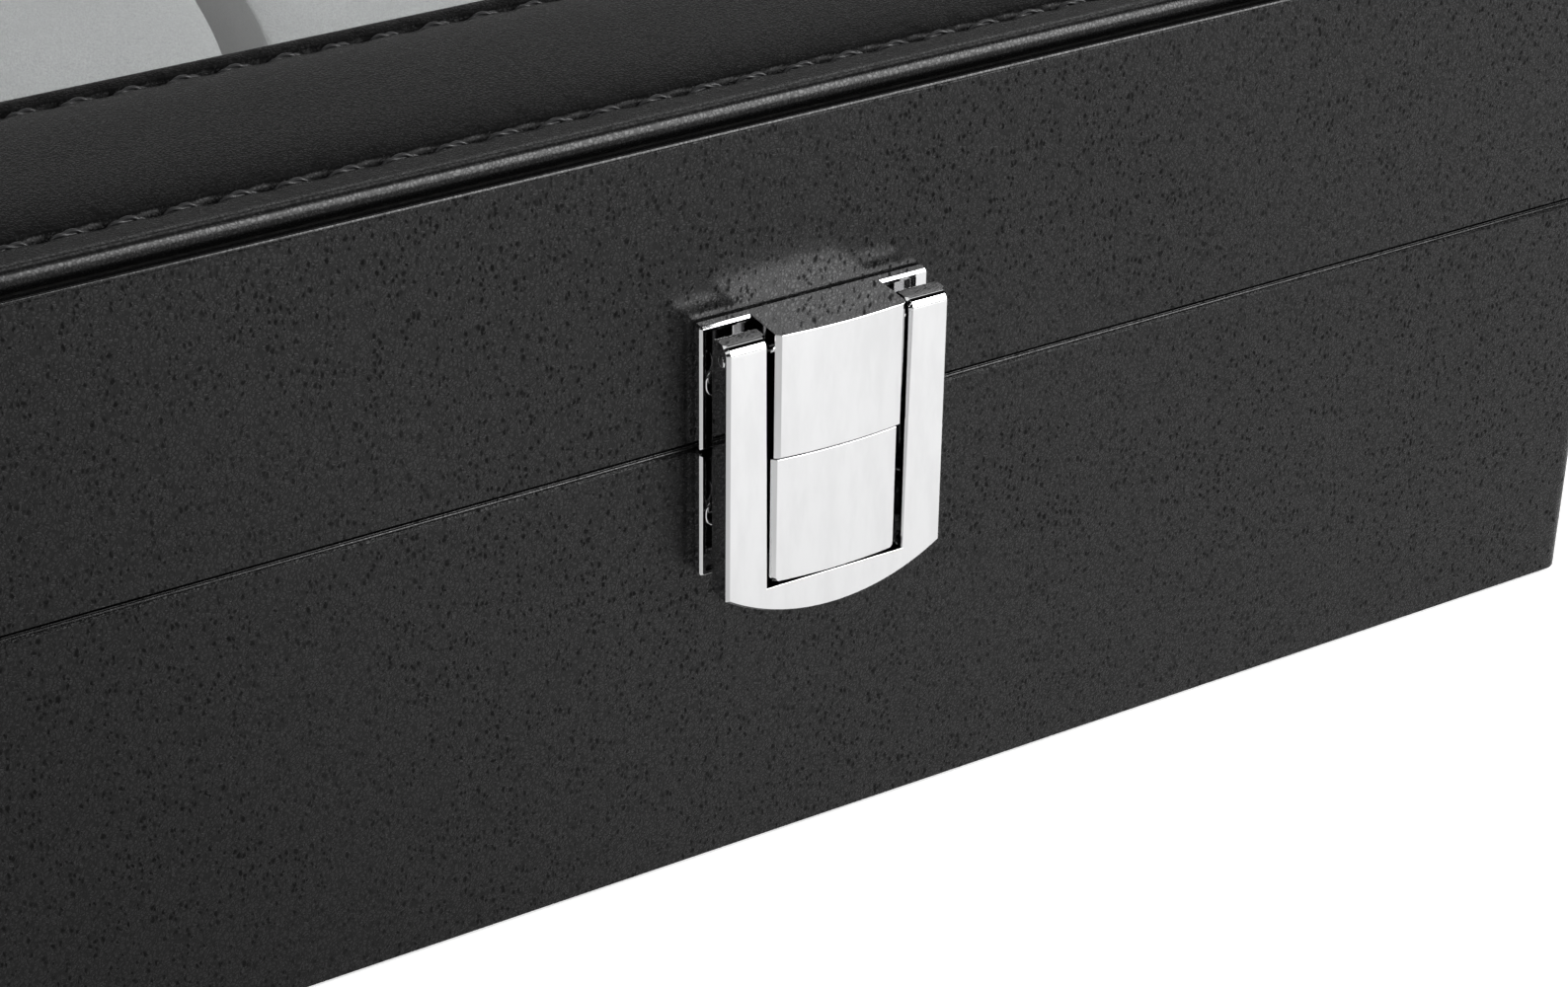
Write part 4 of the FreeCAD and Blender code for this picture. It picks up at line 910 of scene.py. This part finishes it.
pin_line = [(0.0, 0.35), (0.08, 0.62), (0.2, 0.80), (0.30, 0.55), (0.32, 0.50), (30.38, 0.50), (30.40, 0.55),
            (30.50, 0.80), (30.62, 0.62), (30.7, 0.35)]
pin_start = (-15.35, -105.9, 75.0)
pin = link_piece("clasp_cross_pin", turned("clasp_cross_pin", pin_line, pin_start, (1, 0, 0), segments=24),
                 chrome, "lid")
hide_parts("clasp_pivot_pin")


# Clasp lever
# A U of flat bar with bevelled edges, cast in one with its bowed bridge. Its arms run up outside the
# blocks and are rounded over at the pin.

shape = bmesh.new()
arm_half, window_half, arm_top, bow_corner, bow_lowest, window_foot = 15.15, 9.6, 77.2, 42.7, 38.05, 43.1
lever_front, lever_back = 7.4, 3.7
drop = bow_corner - bow_lowest
bow_radius = (arm_half ** 2 + drop ** 2) / (2 * drop)
bow_steps = 28
outline = [(-arm_half, arm_top), (-arm_half, bow_corner)]
for i in range(1, bow_steps):
    x = -arm_half + 2 * arm_half * i / bow_steps
    outline.append((x, bow_lowest + bow_radius - math.sqrt(bow_radius ** 2 - x ** 2)))
outline += [(arm_half, bow_corner), (arm_half, arm_top), (window_half, arm_top), (window_half, window_foot),
            (-window_half, window_foot), (-window_half, arm_top)]
front_ring = ring_at(shape, outline, lever_front)
back_ring = ring_at(shape, outline, lever_back)
bridge(shape, front_ring, back_ring)
shape.faces.new(front_ring)
shape.faces.new(back_ring[::-1])
bmesh.ops.recalc_face_normals(shape, faces=shape.faces)


def chosen_edges(shape, test):
    return [edge for edge in shape.edges if test(edge.verts[0].co, edge.verts[1].co)]


def across_top(out):
    """A test for the edges that run across the arm tops, this far in front of the leather."""
    return lambda a, b: (min(a.z, b.z) > arm_top - close and abs(a.y - LEATHER_FACE + out) < close
                         and abs(b.y - LEATHER_FACE + out) < close)


close = 0.01
front_roll, front_stretch, back_roll, back_stretch, rim_bevel = 1.4, 1.05, 0.7, 2.4, 0.42
for out, roll, segments in ((lever_front, front_roll, 8), (lever_back, back_roll, 5)):
    bmesh.ops.bevel(shape, geom=chosen_edges(shape, across_top(out)), offset=roll, segments=segments, profile=0.5,
                    affect="EDGES")
for vert in shape.verts:
    out = LEATHER_FACE - vert.co.y
    if vert.co.z > arm_top - front_roll - close and out > lever_front - front_roll - close:
        vert.co.y = LEATHER_FACE - (lever_front - front_stretch * (lever_front - out))
    if vert.co.z > arm_top - back_roll - close and out < lever_back + back_roll + close:
        vert.co.z = arm_top - back_stretch * (arm_top - vert.co.z)
shape.normal_update()
rim_edges = []
for edge in shape.edges:
    window_edge = all(abs(vert.co.z - window_foot) < close for vert in edge.verts)
    if len(edge.link_faces) != 2 or window_edge:
        continue
    fronts = [face for face in edge.link_faces
              if face.normal.y < -0.2 and face.normal.z > -0.3 and abs(face.normal.x) < 0.3]
    if len(fronts) == 1 and edge.calc_face_angle(0) > math.radians(40):
        rim_edges.append(edge)
bmesh.ops.bevel(shape, geom=rim_edges, offset=rim_bevel, segments=1, profile=0.5, affect="EDGES")
lever = link_piece("clasp_lever_casting", finished_mesh(shape, "clasp_lever_casting"), chrome,
                   "clasp_lever_body")
break_edges(lever, 0.07)
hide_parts("clasp_lever")


# Drawer knob
# Turned brass, chromed: a coned foot, a waist and a domed head. A screw from inside the drawer's
# front holds it.

low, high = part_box("drawer_knob")
knob_start = (low.x / MM, 0.0, (low.z + high.z) / 2 / MM)
knob_line = [(0.0, 4.75), (0.25, 4.85), (0.6, 4.7), (1.2, 4.1), (2.0, 3.35), (3.0, 2.9), (4.0, 2.8), (5.0, 3.05),
             (6.0, 3.75), (6.8, 4.65), (7.4, 5.45), (7.8, 5.95), (8.2, 6.22), (8.6, 6.3), (9.0, 6.22), (9.5, 5.9),
             (10.2, 5.2), (10.9, 4.2), (11.5, 3.0), (11.95, 1.6), (12.15, 0.5)]
knob_mesh = turned("turned_drawer_knob", knob_line, knob_start, (1, 0, 0), segments=64)
knob = link_piece("turned_drawer_knob", knob_mesh, chrome, "drawer")
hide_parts("drawer_knob")


# Lid hinges
# Two pressed steel butt hinges, nickel-plated, fixed with countersunk cross-head screws.

nickel, tree, shader = new_material("nickel_plate")
drawn = cloud(tree, object_place(tree, 1.2, (0.12, 1, 1)), 4.0, 0.65)
shader.inputs["Metallic"].default_value = 1.0
tree.links.new(mix_colours(tree, ease(tree, drawn, 0.3, 0.7), (0.66, 0.65, 0.62, 1), (0.55, 0.54, 0.52, 1)),
               shader.inputs["Base Color"])
tree.links.new(ease(tree, drawn, 0.3, 0.7, 0.18, 0.32), shader.inputs["Roughness"])
finish_nodes(nickel, "hinge_pins", "drawer_knob_screw", "hinge_base_leaf_left", "hinge_base_leaf_right",
             "hinge_lid_leaf_left", "hinge_lid_leaf_right")
flat_head = [(0.0, 1.05), (1.15, 2.05), (1.2, 2.05)]
for name, node, z in (("hinge_lid_screw", "hinge_lid_screws", 69.8),
                      ("hinge_base_screw", "hinge_base_screws", 51.8)):
    places = [(middle + x, HALF_DEPTH, z) for middle in (-80.0, 80.0) for x in (-13.0, 13.0)]
    fitted_heads(name, node, nickel, places, (0, 1, 0), flat_head, cross=(0.26, 1.0, 0.6))


# Sizes of the finished look beside those of the frame.

def plain(bounds):
    return [[float(value) for value in corner] for corner in bounds]


{"cad": plain(cad_box), "visual": plain(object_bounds())}
